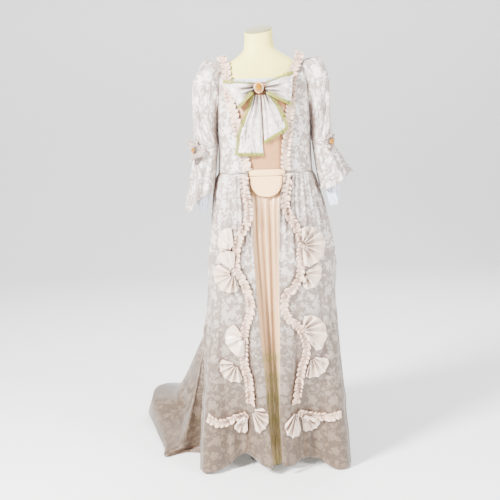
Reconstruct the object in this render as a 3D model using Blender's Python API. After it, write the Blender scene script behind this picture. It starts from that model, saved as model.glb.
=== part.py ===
"""Robe a la francaise standing on a smooth limbless dress form.

Every piece of cloth is one closed wall, worked out from named sizes and short tables.
Metres, +Z up. The wearer faces -Y, and the built part stands on z = 0.
"""
import math
from dataclasses import dataclass

import bmesh
import bpy
import numpy as np
from mathutils import Vector
from mathutils.bvhtree import BVHTree

# Cloth thicknesses and seams
WALL = 0.0016
THIN_WALL = 0.0012
LACE_WALL = 0.0011
SEAM = 0.0006
REST = 0.0005

# Heights, measured from a level that lies FLOOR_Z below the floor; build() moves all down
FLOOR_Z = 0.032
WAIST_Z = 1.040
HEM_Z = FLOOR_Z + 0.004
NECKLINE_Z = 1.346
ELBOW_Z = 1.138

# Armhole oval, seen from the side
ARMHOLE_Z = 1.3005
ARMHOLE_HALF_HEIGHT = 0.0875
ARMHOLE_HALF_DEPTH = 0.052

# Stand
BASE_RADIUS = 0.088
BASE_HEIGHT = 0.012
POLE_RADIUS = 0.016
FORM_BOTTOM_Z = 0.780
FORM_TOP_Z = 1.514
# Slope of the neck's cut to the right and to the back, and the neck's lean to the left
NECK_CUT_SIDE = 0.115
NECK_CUT_BACK = 0.370
NECK_LEAN = -0.010

# Section tables: height, half width, depth to the front, depth to the back
FORM = (
    (0.780, 0.146, 0.098, 0.112),
    (0.880, 0.150, 0.103, 0.118),
    (0.960, 0.145, 0.102, 0.104),
    (1.040, 0.138, 0.100, 0.088),
    (1.130, 0.143, 0.108, 0.088),
    (1.220, 0.150, 0.121, 0.095),
    (1.300, 0.155, 0.112, 0.098),
    (1.340, 0.157, 0.092, 0.092),
    (1.375, 0.150, 0.068, 0.080),
    (1.398, 0.133, 0.056, 0.070),
    (1.425, 0.088, 0.050, 0.060),
    (1.450, 0.056, 0.045, 0.052),
    (1.475, 0.0490, 0.042, 0.048),
    (1.540, 0.0470, 0.044, 0.048),
)
BODICE = (
    (1.040, 0.1610, 0.1300, 0.1000),
    (1.100, 0.1580, 0.1290, 0.0980),
    (1.160, 0.1575, 0.1300, 0.1000),
    (1.220, 0.1595, 0.1310, 0.1030),
    (1.300, 0.1610, 0.1180, 0.1040),
    (1.340, 0.1615, 0.0965, 0.0965),
    (1.375, 0.1538, 0.0716, 0.0836),
    (1.398, 0.1376, 0.0596, 0.0736),
    (1.425, 0.0928, 0.0536, 0.0636),
    (1.450, 0.0568, 0.0486, 0.0556),
)
TORSO_SQUARENESS = 2.2

# Skirt: height, half width left and right, front, back, seam direction, squareness
SKIRT = (
    (0.000, 0.2480, 0.2480, 0.176, 0.245, 100.0, 3.1),
    (0.120, 0.2400, 0.2430, 0.174, 0.240, 100.0, 3.0),
    (0.330, 0.2270, 0.2370, 0.170, 0.225, 102.0, 2.8),
    (0.580, 0.2130, 0.2310, 0.165, 0.200, 105.0, 2.6),
    (0.800, 0.1950, 0.2240, 0.160, 0.165, 108.0, 2.5),
    (0.930, 0.1790, 0.1930, 0.153, 0.135, 112.0, 2.4),
    (0.985, 0.1745, 0.1780, 0.144, 0.115, 115.0, 2.3),
    (1.040, 0.1610, 0.1610, 0.130, 0.100, 119.0, 2.2),
)
# Front opening of the robe skirt: height, left edge, right edge, both from the centre
OPENING = (
    (0.000, 0.001, 0.030),
    (0.120, 0.010, 0.024),
    (0.210, 0.017, 0.022),
    (0.345, 0.022, 0.025),
    (0.510, 0.034, 0.030),
    (0.610, 0.040, 0.031),
    (0.800, 0.049, 0.036),
    (0.960, 0.052, 0.045),
    (1.040, 0.060, 0.064),
)
# Edge between bodice front and stomacher: height, left, right
ROBING_LINE = (
    (1.040, 0.057, 0.066),
    (1.100, 0.071, 0.068),
    (1.190, 0.086, 0.078),
    (1.250, 0.103, 0.087),
    (1.346, 0.119, 0.0965),
    (1.390, 0.119, 0.108),
    (1.414, 0.1105, 0.1105),
)
# Rows of the bodice pieces: height at the inner edge, height at the outer edge
BODICE_ROWS = (
    (1.0404, 1.0404),
    (1.100, 1.100),
    (1.160, 1.160),
    (1.213, 1.2125),
    (1.250, 1.228),
    (1.290, 1.256),
    (1.320, 1.290),
    (1.346, 1.322),
    (1.370, 1.350),
    (1.390, 1.370),
    (1.404, 1.382),
    (1.411, 1.3875),
)
# Edge between bodice back and sack: height, distance from the centre
SACK_LINE = (
    (1.040, 0.1400),
    (1.130, 0.1340),
    (1.250, 0.1280),
    (1.346, 0.1220),
    (1.390, 0.1160),
    (1.414, 0.1105),
)
# Folds of the skirt fronts: share of the way round, half width, push at the hem, top
FOLDS_LEFT = (
    (0.00, 0.12, 0.022, 0.95),
    (0.26, 0.12, -0.062, 0.55),
    (0.50, 0.09, 0.044, 0.80),
    (0.66, 0.05, -0.020, 0.85),
    (0.80, 0.06, 0.014, 0.90),
)
FOLDS_RIGHT = (
    (0.02, 0.10, 0.022, 0.95),
    (0.27, 0.13, -0.062, 0.55),
    (0.53, 0.10, 0.038, 0.80),
    (0.45, 0.05, 0.014, 0.60),
    (0.70, 0.05, -0.018, 0.85),
    (0.84, 0.05, 0.012, 0.90),
)
# Height of the hem over HEM_Z: share of the way round, height
HEM_LEFT = ((0.00, 0.024), (0.10, 0.032), (0.20, 0.052), (0.30, 0.042), (0.40, 0.013),
            (0.50, 0.004), (0.60, 0.000), (1.00, 0.000))
HEM_RIGHT = ((0.00, 0.034), (0.10, 0.029), (0.20, 0.032), (0.30, 0.028), (0.36, 0.027),
             (0.43, 0.002), (0.50, 0.000), (1.00, 0.000))
HEM_BLEND = 0.42
PETTICOAT_HEM = 0.024
PETTICOAT_TOP_Z = 1.0385
GATHER_DEPTH = 0.0035
GATHER_WAVES = 6

# Hem of the sack and train on the floor: share from left to right, x, y, fold height
TRAIN_HEM = (
    (-1.00, -0.2450, 0.043, 0.004),
    (-0.93, -0.3050, 0.060, 0.004),
    (-0.86, -0.3750, 0.018, 0.008),
    (-0.76, -0.3915, 0.100, 0.022),
    (-0.62, -0.4480, 0.304, 0.050),
    (-0.48, -0.4985, 0.508, 0.088),
    (-0.34, -0.4430, 0.722, 0.080),
    (-0.18, -0.2440, 0.887, 0.030),
    (0.00, -0.0500, 0.931, 0.010),
    (0.22, 0.1740, 0.887, 0.020),
    (0.42, 0.2960, 0.693, 0.036),
    (0.60, 0.2960, 0.460, 0.040),
    (0.78, 0.2700, 0.230, 0.012),
    (0.90, 0.2640, 0.130, 0.004),
    (1.00, 0.2450, 0.079, 0.004),
)
# Heights of the rows of skirt and sack, and the push of the box pleats
SKIRT_HEIGHTS = (1.0394, 1.000, 0.945, 0.87, 0.77, 0.66, 0.54, 0.42, 0.30, 0.19, 0.11, 0.062,
                 HEM_Z)
SACK_UPPER_HEIGHTS = (1.411, 1.400, 1.386, 1.366, 1.335, 1.28, 1.20, 1.12)
SACK_BULGE = 0.060
SACK_PLEATS = 5.0
SACK_FLARE = 0.476
HEM_FOLD = 0.30

# Sleeves: outer x, outer z, inner x, inner z, half depth, centre y
SLEEVE_LEFT = (
    (0.1690, 1.4180, 0.1660, 1.196, 0.058, 0.000),
    (0.1880, 1.4180, 0.1660, 1.186, 0.061, -0.002),
    (0.2120, 1.3980, 0.1660, 1.178, 0.062, -0.004),
    (0.2320, 1.3500, 0.1655, 1.171, 0.061, -0.006),
    (0.2400, 1.2800, 0.1650, 1.163, 0.057, -0.008),
    (0.2400, 1.2100, 0.1645, 1.152, 0.053, -0.012),
    (0.2380, ELBOW_Z + 0.001, 0.1645, ELBOW_Z + 0.001, 0.049, -0.018),
)
SLEEVE_RIGHT = (
    (0.1690, 1.4200, 0.1660, 1.196, 0.058, 0.000),
    (0.1880, 1.4190, 0.1660, 1.186, 0.061, -0.002),
    (0.2060, 1.4020, 0.1660, 1.178, 0.062, -0.004),
    (0.2190, 1.3560, 0.1655, 1.171, 0.061, -0.006),
    (0.2240, 1.2900, 0.1655, 1.163, 0.057, -0.008),
    (0.2250, 1.2150, 0.1660, 1.152, 0.053, -0.012),
    (0.2310, ELBOW_Z + 0.001, 0.1680, ELBOW_Z + 0.001, 0.049, -0.018),
)
SLEEVE_SIDES = 16
HEAD_PLEAT = 0.0032
ARMHOLE_CLEAR = 0.0016


@dataclass(frozen=True)
class Frill:
    """A flared tube of cloth below the elbow."""

    centre_x: float
    half_width: float
    centre_y: float
    half_depth: float
    drops: tuple
    waves: int
    ripple: float
    side: float


# Drops: direction round the arm, height of the edge there
FLOUNCE_LEFT = Frill(
    -0.2260, 0.0480, -0.030, 0.074,
    ((0, 0.922), (50, 0.938), (90, 0.960), (140, 0.985), (180, 0.988), (230, 0.975),
     (270, 0.955), (305, 0.922), (340, 0.918), (360, 0.922)),
    5, 0.006, 1.0,
)
FLOUNCE_RIGHT = Frill(
    0.2390, 0.0510, -0.030, 0.078,
    ((0, 1.032), (50, 1.008), (90, 0.985), (140, 0.984), (180, 0.985), (230, 0.980),
     (270, 0.998), (310, 1.022), (360, 1.032)),
    5, 0.007, 1.0,
)
LACE_LEFT = Frill(
    -0.2150, 0.0200, -0.032, 0.052,
    ((0, 0.938), (60, 0.948), (130, 0.955), (180, 0.938), (225, 0.918), (250, 0.912),
     (290, 0.925), (360, 0.938)),
    5, 0.003, -1.0,
)
LACE_RIGHT = Frill(
    0.2290, 0.0230, -0.032, 0.056,
    ((0, 0.945), (60, 0.955), (130, 0.955), (180, 0.935), (230, 0.925), (290, 0.928),
     (360, 0.945)),
    5, 0.003, -1.0,
)

# Paths over the skirt and bodice, seen from the front: x, z
SERPENTINE_LEFT = (
    (-0.0717, 1.0365), (-0.0715, 1.0000), (-0.0620, 0.9500), (-0.0580, 0.9150),
    (-0.0660, 0.8800), (-0.0860, 0.8470), (-0.1040, 0.8050), (-0.1070, 0.7600),
    (-0.1060, 0.7250), (-0.0930, 0.7050), (-0.0795, 0.6740), (-0.0665, 0.6350),
    (-0.0630, 0.6050), (-0.0700, 0.5700), (-0.0830, 0.5360), (-0.0880, 0.4950),
    (-0.0920, 0.4400), (-0.0880, 0.4000), (-0.0780, 0.3640), (-0.0750, 0.3180),
    (-0.0752, 0.2740),
)
SERPENTINE_RIGHT = (
    (0.0680, 1.0365), (0.0700, 1.0100), (0.0650, 0.9760), (0.0600, 0.9400),
    (0.0669, 0.9100), (0.0849, 0.8800), (0.1010, 0.8480), (0.1110, 0.8100),
    (0.1070, 0.7720), (0.1050, 0.7300), (0.1000, 0.6950), (0.0790, 0.6610),
    (0.0560, 0.6430), (0.0490, 0.6100), (0.0520, 0.5800), (0.0690, 0.5550),
    (0.0940, 0.5320), (0.1090, 0.5050), (0.1170, 0.4600), (0.1160, 0.4350),
    (0.1050, 0.4080), (0.0958, 0.3720), (0.0890, 0.3300), (0.0826, 0.3030),
    (0.0785, 0.2720),
)
HEM_FRILL_LEFT = (
    (-0.0849, 0.2353), (-0.1028, 0.2252), (-0.1329, 0.2157), (-0.1577, 0.2071),
    (-0.1869, 0.2101), (-0.2080, 0.2230), (-0.2200, 0.2300),
)
HEM_FRILL_RIGHT = (
    (0.0852, 0.2400), (0.1109, 0.2247), (0.1455, 0.2173), (0.1843, 0.2184),
    (0.2140, 0.2233), (0.2300, 0.2247),
)
RUFFLE_HALF_WIDTH = 0.0140
RUFFLE_HEIGHT = 0.0080
SERPENTINE_WAVES = 19
HEM_FRILL_WAVES = 5
ROBING_WAVES = 10
# Top of the robing, where it puffs over the shoulder
ROBING_PUFF_LEFT = ((-0.1220, 1.396), (-0.1300, 1.416), (-0.1370, 1.431))
ROBING_PUFF_RIGHT = ((0.1140, 1.398), (0.1220, 1.420), (0.1290, 1.437))
ROBING_HALF_WIDTH = 0.0135
ROBING_HEIGHT = 0.0075


@dataclass(frozen=True)
class FanSize:
    """One fan-pleated piece held at a point of the serpentine."""

    name: str
    x: float
    z: float
    inner: float
    outer: float
    tip: float
    start: float
    end: float
    pleats: int
    height: float


FANS = (
    FanSize("fan_left_top", -0.1107, 0.7941, 0.012, 0.084, 0.052, 96.0, 192.0, 2, 0.011),
    FanSize("fan_left_middle", -0.1166, 0.7147, 0.012, 0.072, 0.066, 150.0, 292.0, 6, 0.011),
    FanSize("fan_left_upper", -0.1140, 0.7224, 0.014, 0.068, 0.082, 84.0, 148.0, 2, 0.010),
    FanSize("fan_left_lower", -0.0853, 0.5050, 0.012, 0.062, 0.076, 130.0, 266.0, 3, 0.013),
    FanSize("fan_left_bell", -0.1159, 0.4117, 0.012, 0.062, 0.068, 166.0, 288.0, 5, 0.011),
    FanSize("fan_left_panel", -0.0860, 0.2420, 0.016, 0.082, 0.078, 226.0, 268.0, 3, 0.006),
    FanSize("fan_left_hem", -0.0720, 0.2560, 0.012, 0.084, 0.048, 280.0, 380.0, 5, 0.012),
    FanSize("fan_right_upper", 0.1125, 0.7101, 0.012, 0.054, 0.072, -92.0, 28.0, 4, 0.011),
    FanSize("fan_right_top", 0.1114, 0.8041, 0.012, 0.084, 0.070, -87.0, 90.0, 7, 0.013),
    FanSize("fan_right_bell", 0.1341, 0.4291, 0.012, 0.078, 0.068, -110.0, -14.0, 4, 0.011),
    FanSize("fan_right_lower", 0.1022, 0.5217, 0.012, 0.106, 0.056, -58.0, 78.0, 5, 0.013),
    FanSize("fan_right_panel", 0.0941, 0.2330, 0.014, 0.076, 0.080, 276.0, 334.0, 4, 0.006),
    FanSize("fan_right_hem", 0.0800, 0.2500, 0.012, 0.070, 0.096, 222.0, 280.0, 4, 0.012),
)

# Bow on the stomacher: knot edge and far edge of each loop, bottom then top, x and z
LOOP_LEFT = ((-0.0360, 1.3000), (-0.0360, 1.3280), (-0.0800, 1.2560), (-0.1270, 1.3400))
LOOP_RIGHT = ((0.0120, 1.2980), (0.0120, 1.3300), (0.0860, 1.2600), (0.0960, 1.3620))
LOOP_PUFF = 0.011
# Tails: left edge x and z, right edge x and z, from the knot down
TAIL_LEFT = (
    (-0.0330, 1.2930, -0.0170, 1.2930),
    (-0.0500, 1.2450, -0.0130, 1.2450),
    (-0.0740, 1.1930, -0.0115, 1.1900),
    (-0.0840, 1.1450, -0.0110, 1.1400),
    (-0.0900, 1.1040, -0.0090, 1.1010),
)
TAIL_RIGHT = (
    (-0.0060, 1.2930, 0.0160, 1.2930),
    (-0.0050, 1.2500, 0.0400, 1.2620),
    (-0.0035, 1.2000, 0.0600, 1.2240),
    (-0.0020, 1.1420, 0.0740, 1.1850),
)
KNOT = (-0.0120, 1.3110)
KNOT_HALF = (0.0230, 0.0180, 0.0070)
SETTING_HALF = (0.0140, 0.0172, 0.0042)
STONE_HALF = (0.0105, 0.0136, 0.0048)
# Elbow bows: half width and half height
ELBOW_BOW_LEFT = (0.036, 0.025)
ELBOW_BOW_RIGHT = (0.026, 0.022)
ELBOW_GEM_HALF = (0.0085, 0.0085, 0.0032)
EDGING_HALF_WIDTH = 0.0042
EDGING_HEIGHT = 0.0014

TAB_TOP_Z = 1.0306
TAB_BOTTOM_Z = 0.9640
TAB_HALF_WIDTH = 0.0500
BAND_BOTTOM_Z = 1.0310
BAND_TOP_Z = 1.0530

# Looks of the plain model
COLOURS = {
    "form": (0.855, 0.820, 0.560),
    "cap": (0.400, 0.370, 0.250),
    "steel": (0.550, 0.550, 0.560),
    "damask": (0.690, 0.625, 0.580),
    "satin": (0.810, 0.650, 0.490),
    "peach": (0.840, 0.640, 0.560),
    "cream": (0.900, 0.780, 0.620),
    "bow": (0.850, 0.820, 0.760),
    "lime": (0.560, 0.620, 0.200),
    "lace": (0.780, 0.820, 0.900),
    "gold": (0.800, 0.500, 0.160),
    "amber": (0.850, 0.380, 0.040),
}


def clear_scene():
    """Remove every object of the open scene."""
    for item in list(bpy.data.objects):
        bpy.data.objects.remove(item, do_unlink=True)


def smooth_row(table, at):
    """Read a table at a value of its first column, along smooth curves.

    Args:
        table: rows that rise or fall in the first column.
        at: value of the first column.

    Returns:
        The other columns there, as a list.
    """
    rows = np.array(sorted(table), dtype=float)
    keys = rows[:, 0]
    at = min(max(at, keys[0]), keys[-1])
    cell = int(min(max(np.searchsorted(keys, at) - 1, 0), len(keys) - 2))
    span = keys[cell + 1] - keys[cell]
    share = (at - keys[cell]) / span
    slopes = np.diff(rows[:, 1:], axis=0) / np.diff(keys)[:, None]
    before = slopes[max(cell - 1, 0)]
    here = slopes[cell]
    after = slopes[min(cell + 1, len(slopes) - 1)]
    start = np.where(before * here > 0, 0.5 * (before + here), 0.0)
    end = np.where(after * here > 0, 0.5 * (after + here), 0.0)
    if cell == 0:
        start = here
    if cell == len(slopes) - 1:
        end = here
    square = share * share
    cube = square * share
    value = (
        (2 * cube - 3 * square + 1) * rows[cell, 1:]
        + (cube - 2 * square + share) * span * start
        + (3 * square - 2 * cube) * rows[cell + 1, 1:]
        + (cube - square) * span * end
    )
    return value.tolist()


def ease(value):
    """Return a smooth step from 0 to 1 for a value from 0 to 1."""
    value = min(max(value, 0.0), 1.0)
    return value * value * (3.0 - 2.0 * value)


def signed_power(value, power):
    """Return |value| to a power with the sign of the value."""
    return math.copysign(abs(value) ** power, value)


def oval(half_width, front, back, squareness, degrees, height):
    """Return a point of a rounded section; 0 degrees is the front, 90 the right."""
    angle = math.radians(degrees)
    across = math.sin(angle)
    along = math.cos(angle)
    depth = front if along > 0 else back
    return Vector((
        half_width * signed_power(across, 2.0 / squareness),
        -depth * signed_power(along, 2.0 / squareness),
        height,
    ))


def torso_point(table, degrees, height, out=0.0):
    """Return a point of the form or bodice section table, moved out."""
    half_width, front, back = smooth_row(table, height)
    return oval(half_width + out, front + out, back + out, TORSO_SQUARENESS, degrees, height)


def bodice_degrees(offset, height):
    """Return the direction at which the bodice section is this far from the centre."""
    half_width = smooth_row(BODICE, height)[0]
    share = min(abs(offset) / half_width, 1.0)
    return math.degrees(math.asin(share ** (TORSO_SQUARENESS / 2.0)))


def bodice_x(along, height, out=0.0):
    """Return the half width of the bodice at a depth and height."""
    half_width, front, back = smooth_row(BODICE, height)
    depth = (front if along < 0 else back) + out
    share = min(abs(along) / depth, 1.0) ** TORSO_SQUARENESS
    return (half_width + out) * (1.0 - share) ** (1.0 / TORSO_SQUARENESS)


def make_object(name, points, faces, colour):
    """Make a closed mesh object with its own material.

    Args:
        name: node name.
        points: list of vectors.
        faces: lists of point numbers.
        colour: key of COLOURS.

    Returns:
        The new object.
    """
    mesh = bpy.data.meshes.new(name)
    mesh.from_pydata([tuple(point) for point in points], [], faces)
    sheet = bmesh.new()
    sheet.from_mesh(mesh)
    bmesh.ops.recalc_face_normals(sheet, faces=sheet.faces)
    sheet.to_mesh(mesh)
    sheet.free()
    item = bpy.data.objects.new(name, mesh)
    bpy.context.scene.collection.objects.link(item)
    material = bpy.data.materials.new(name + "_cloth")
    material.use_nodes = True
    shader = material.node_tree.nodes["Principled BSDF"]
    shader.inputs["Base Color"].default_value = (*COLOURS[colour], 1.0)
    shader.inputs["Roughness"].default_value = 0.6
    mesh.materials.append(material)
    return item


def grid_normals(grid, closed):
    """Return the unit normals of a grid of points."""
    places = np.array([[tuple(point) for point in row] for row in grid])
    if closed:
        across = np.roll(places, -1, axis=1) - np.roll(places, 1, axis=1)
    else:
        across = np.gradient(places, axis=1)
    down = np.gradient(places, axis=0)
    normals = np.cross(across, down)
    lengths = np.linalg.norm(normals, axis=2, keepdims=True)
    return normals / np.maximum(lengths, 1e-12)


def wall(name, grid, thickness, colour, closed=False, inward=None, flip=False):
    """Make a wall of cloth from a grid of points on its outside.

    Args:
        name: node name.
        grid: rows of vectors, all of one length.
        thickness: thickness of the cloth.
        colour: key of COLOURS.
        closed: True where each row is a ring.
        inward: one direction for the thickness, or None for the grid's normals.
        flip: True where the grid's normals point inwards.

    Returns:
        The new object.
    """
    rows = len(grid)
    columns = len(grid[0])
    normals = grid_normals(grid, closed)
    sign = -1.0 if flip else 1.0
    outside = [point for row in grid for point in row]
    inside = []
    for r, row in enumerate(grid):
        for c, point in enumerate(row):
            way = inward if inward is not None else Vector(normals[r, c]) * -sign
            inside.append(point + way * thickness)
    total = rows * columns
    last = columns if closed else columns - 1
    faces = []
    for r in range(rows - 1):
        for c in range(last):
            n = (c + 1) % columns
            corners = (r * columns + c, r * columns + n, (r + 1) * columns + n, (r + 1) * columns + c)
            faces.append((corners[0], corners[1], corners[2]))
            faces.append((corners[0], corners[2], corners[3]))
            faces.append((corners[2] + total, corners[1] + total, corners[0] + total))
            faces.append((corners[3] + total, corners[2] + total, corners[0] + total))
    for c in range(last):
        n = (c + 1) % columns
        faces.append((n, c, c + total, n + total))
        low = (rows - 1) * columns
        faces.append((low + c, low + n, low + n + total, low + c + total))
    if not closed:
        for r in range(rows - 1):
            a = r * columns
            b = a + columns
            faces.append((a, b, b + total, a + total))
            faces.append((b - 1, b + columns - 1, b + columns - 1 + total, b - 1 + total))
    return make_object(name, outside + inside, faces, colour)


def solid_rings(name, rings, colour):
    """Make a solid from rings of points, closed with a flat fan at each end."""
    count = len(rings[0])
    points = [point for ring in rings for point in ring]
    faces = []
    for r in range(len(rings) - 1):
        for c in range(count):
            n = (c + 1) % count
            faces.append((r * count + c, r * count + n, (r + 1) * count + n, (r + 1) * count + c))
    faces.append(tuple(range(count)))
    faces.append(tuple((len(rings) - 1) * count + c for c in range(count)))
    return make_object(name, points, faces, colour)


def tree_of(items):
    """Return one search tree over the triangles of the objects."""
    points = []
    faces = []
    for item in items:
        start = len(points)
        points.extend(vertex.co.copy() for vertex in item.data.vertices)
        faces.extend(tuple(start + v for v in face.vertices) for face in item.data.polygons)
    return BVHTree.FromPolygons(points, faces)


@dataclass(frozen=True)
class View:
    """A flat frame from which trims are laid on what is behind it."""

    origin: Vector
    across: Vector
    up: Vector

    @property
    def out(self):
        """Return the direction towards the viewer."""
        return self.across.cross(self.up)

    def place(self, across, up, out=0.0):
        """Return the point at these distances along the frame."""
        return self.origin + self.across * across + self.up * up + self.out * out


FRONT = View(Vector((0.0, 0.0, 0.0)), Vector((1.0, 0.0, 0.0)), Vector((0.0, 0.0, 1.0)))
FAR = 0.60
LIFT = 0.0003
LIFT_START = -24
LIFT_STEPS = 60
NEIGHBOURS = ((0, 0), (1, 0), (-1, 0), (0, 1), (0, -1), (0.7, 0.7), (-0.7, 0.7), (0.7, -0.7),
              (-0.7, -0.7), (0.5, 0), (-0.5, 0), (0, 0.5), (0, -0.5), (0.35, 0.35),
              (-0.35, 0.35), (0.35, -0.35), (-0.35, -0.35))


def resting_height(view, tree, across, up, reach):
    """Return how far out the nearest cloth lies within reach of a place.

    Args:
        view: frame of the trim.
        tree: search tree of what lies below.
        across: place in the frame.
        up: place in the frame.
        reach: distance to the neighbours that are felt as well.

    Returns:
        Distance along the frame's outward direction, or None with nothing below.
    """
    best = None
    for side, rise in NEIGHBOURS:
        start = view.place(across + side * reach, up + rise * reach, FAR)
        hit = tree.ray_cast(start, -view.out)
        if hit[0] is None:
            continue
        height = FAR - hit[3]
        if best is None or height > best:
            best = height
    return best


def lay(view, tree, plan, reach, thickness):
    """Lay a plan of (across, up, height) rows on what is below it.

    Args:
        view: frame of the trim.
        tree: search tree of what lies below.
        plan: rows of (across, up, height over the rest).
        reach: see resting_height.
        thickness: thickness of the cloth, which is added to the height.

    Returns:
        Rows of vectors for wall().
    """
    heights = [[resting_height(view, tree, a, u, reach) for a, u, h in row] for row in plan]
    known = [
        (across, up, level)
        for row, levels in zip(plan, heights)
        for (across, up, _), level in zip(row, levels)
        if level is not None
    ]
    grid = []
    for row, levels in zip(plan, heights):
        line = []
        for (across, up, height), level in zip(row, levels):
            if level is None:
                level = min(known, key=lambda k: math.hypot(k[0] - across, k[1] - up))[2]
            line.append(view.place(across, up, level + thickness + REST + height))
        grid.append(line)
    return grid


def laid_wall(name, view, below, plan, reach, colour, closed=False):
    """Make a wall laid on the cloth below it, raised until it is clear of it.

    Args:
        name: node name.
        view: frame of the trim.
        below: objects that it lies on.
        plan: see lay().
        reach: see resting_height().
        colour: key of COLOURS.
        closed: True where each row is a ring.

    Returns:
        The new object.
    """
    tree = tree_of(below)
    grid = lay(view, tree, plan, reach, THIN_WALL)
    return seat(view, tree, lambda: wall(name, grid, THIN_WALL, colour, closed=closed,
                                         inward=-view.out))


def seat(view, tree, make):
    """Make an object and move it out until it is just clear of what it lies on.

    Args:
        view: frame whose outward direction it moves along.
        tree: search tree of what lies below.
        make: function that makes the object near its place.

    Returns:
        The object, about one LIFT off the nearest cloth.
    """
    item = make()
    home = [vertex.co.copy() for vertex in item.data.vertices]
    for step in range(LIFT_START, LIFT_STEPS):
        for vertex, place in zip(item.data.vertices, home):
            vertex.co = place + view.out * (step * LIFT)
        if not tree_of([item]).overlap(tree):
            break
    for vertex in item.data.vertices:
        vertex.co += view.out * LIFT
    return item


def path_stations(path, count):
    """Return evenly spaced (x, z, along x, along z) stations of a smooth path."""
    knots = [(float(i), x, z) for i, (x, z) in enumerate(path)]
    fine = 12 * (len(path) - 1)
    line = np.array([smooth_path(knots, i * (len(path) - 1) / fine) for i in range(fine + 1)])
    steps = np.linalg.norm(np.diff(line, axis=0), axis=1)
    travel = np.concatenate(([0.0], np.cumsum(steps)))
    stations = []
    for share in np.linspace(0.0, travel[-1], count):
        x = np.interp(share, travel, line[:, 0])
        z = np.interp(share, travel, line[:, 1])
        ahead = min(share + 0.004, travel[-1])
        back = max(share - 0.004, 0.0)
        dx = np.interp(ahead, travel, line[:, 0]) - np.interp(back, travel, line[:, 0])
        dz = np.interp(ahead, travel, line[:, 1]) - np.interp(back, travel, line[:, 1])
        size = math.hypot(dx, dz)
        stations.append((x, z, dx / size, dz / size))
    return stations


def smooth_path(knots, at):
    """Return a point of a Catmull-Rom curve through the knots."""
    rows = np.array([knot[1:] for knot in knots])
    cell = int(min(max(math.floor(at), 0), len(rows) - 2))
    share = at - cell
    first = rows[max(cell - 1, 0)]
    second = rows[cell]
    third = rows[cell + 1]
    fourth = rows[min(cell + 2, len(rows) - 1)]
    return 0.5 * (
        2.0 * second
        + (third - first) * share
        + (2.0 * first - 5.0 * second + 4.0 * third - fourth) * share ** 2
        + (3.0 * second - first - 3.0 * third + fourth) * share ** 3
    )


def ruffle_plan(path, half_width, height, waves, columns=(-1.0, 0.0, 1.0), per_wave=3):
    """Return the plan of a gathered strip along a path."""
    count = waves * per_wave + 1
    plan = []
    for i, (x, z, dx, dz) in enumerate(path_stations(path, count)):
        phase = 2.0 * math.pi * waves * i / (count - 1)
        row = []
        for side in columns:
            wave = 0.5 + 0.5 * math.cos(phase + (2.1 if side > 0 else 0.0))
            lift = height * wave * abs(side) + 0.12 * height * (1.0 - abs(side)) * math.cos(phase)
            width = half_width * side * (1.0 + 0.10 * math.sin(phase * 0.37 + side))
            row.append((x - dz * width, z + dx * width, lift))
        plan.append(row)
    return plan


def fan_plan(fan):
    """Return the plan of a fan-pleated piece."""
    columns = 2 * fan.pleats + 1
    plan = []
    for share in (0.0, 0.5, 1.0):
        row = []
        for c in range(columns):
            angle = math.radians(fan.start + (fan.end - fan.start) * c / (columns - 1))
            ridge = c % 2
            outer = fan.outer + (fan.tip - fan.outer) * c / (columns - 1)
            radius = fan.inner + (outer * (1.0 if ridge else 0.93) - fan.inner) * share
            lift = fan.height * ridge * (0.30 + 0.70 * share)
            row.append((fan.x + radius * math.cos(angle), fan.z + radius * math.sin(angle), lift))
        plan.append(row)
    return plan


def skirt_section(height, side):
    """Return half width, front, back, seam direction and squareness on one side."""
    left, right, front, back, seam, square = smooth_row(SKIRT, height)
    return (left if side < 0 else right), front, back, seam, square


def opening_x(height, side):
    """Return the distance of the skirt's front edge from the centre."""
    left, right = smooth_row(OPENING, height)
    return left if side < 0 else right


def skirt_row(height, side, columns):
    """Return evenly spaced points and outward normals from the opening to the seam.

    Args:
        height: height of the row.
        side: -1 for the left of the picture, 1 for the right.
        columns: number of cells.

    Returns:
        List of (share, point, normal).
    """
    half_width, front, back, seam, square = skirt_section(height, side)
    share = min(opening_x(height, side) / half_width, 1.0)
    first = math.degrees(math.asin(share ** (square / 2.0)))
    fine = []
    for i in range(241):
        degrees = first + (seam - first) * (i / 240.0) ** 1.6
        fine.append(oval(half_width, front, back, square, degrees, height))
    steps = [0.0]
    for one, two in zip(fine, fine[1:]):
        steps.append(steps[-1] + (two - one).length)
    xs = [point.x for point in fine]
    ys = [point.y for point in fine]
    row = []
    for c in range(columns + 1):
        travel = steps[-1] * c / columns
        x = np.interp(travel, steps, xs)
        y = np.interp(travel, steps, ys)
        ahead = min(travel + 0.003, steps[-1])
        back_up = max(travel - 0.003, 0.0)
        dx = np.interp(ahead, steps, xs) - np.interp(back_up, steps, xs)
        dy = np.interp(ahead, steps, ys) - np.interp(back_up, steps, ys)
        normal = Vector((dy, -dx, 0.0)).normalized()
        row.append((c / columns, Vector((side * x, y, height)), Vector((side * normal.x, normal.y, 0.0))))
    return row


def fold_push(share, height, folds):
    """Return how far the folds push the skirt out at a place."""
    push = 0.0
    for centre, half, depth, top in folds:
        bump = math.exp(-((share - centre) / half) ** 2)
        push += depth * bump * ease((top - height) / top) ** 1.2
    fade = ease((1.0 - share) / 0.12)
    near_waist = ease((height - 0.86) / 0.12) * ease((WAIST_Z + 0.012 - height) / 0.03)
    gather = GATHER_DEPTH * math.cos(2.0 * math.pi * GATHER_WAVES * share) * near_waist
    return (push + gather) * fade


def hem_rise(share, height, side, least=0.0):
    """Return how far a row is raised towards the waves of the hem."""
    rise = max(smooth_row(HEM_LEFT if side < 0 else HEM_RIGHT, share)[0], least)
    return rise * max((HEM_BLEND - height) / (HEM_BLEND - HEM_Z), 0.0) ** 1.5


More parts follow.
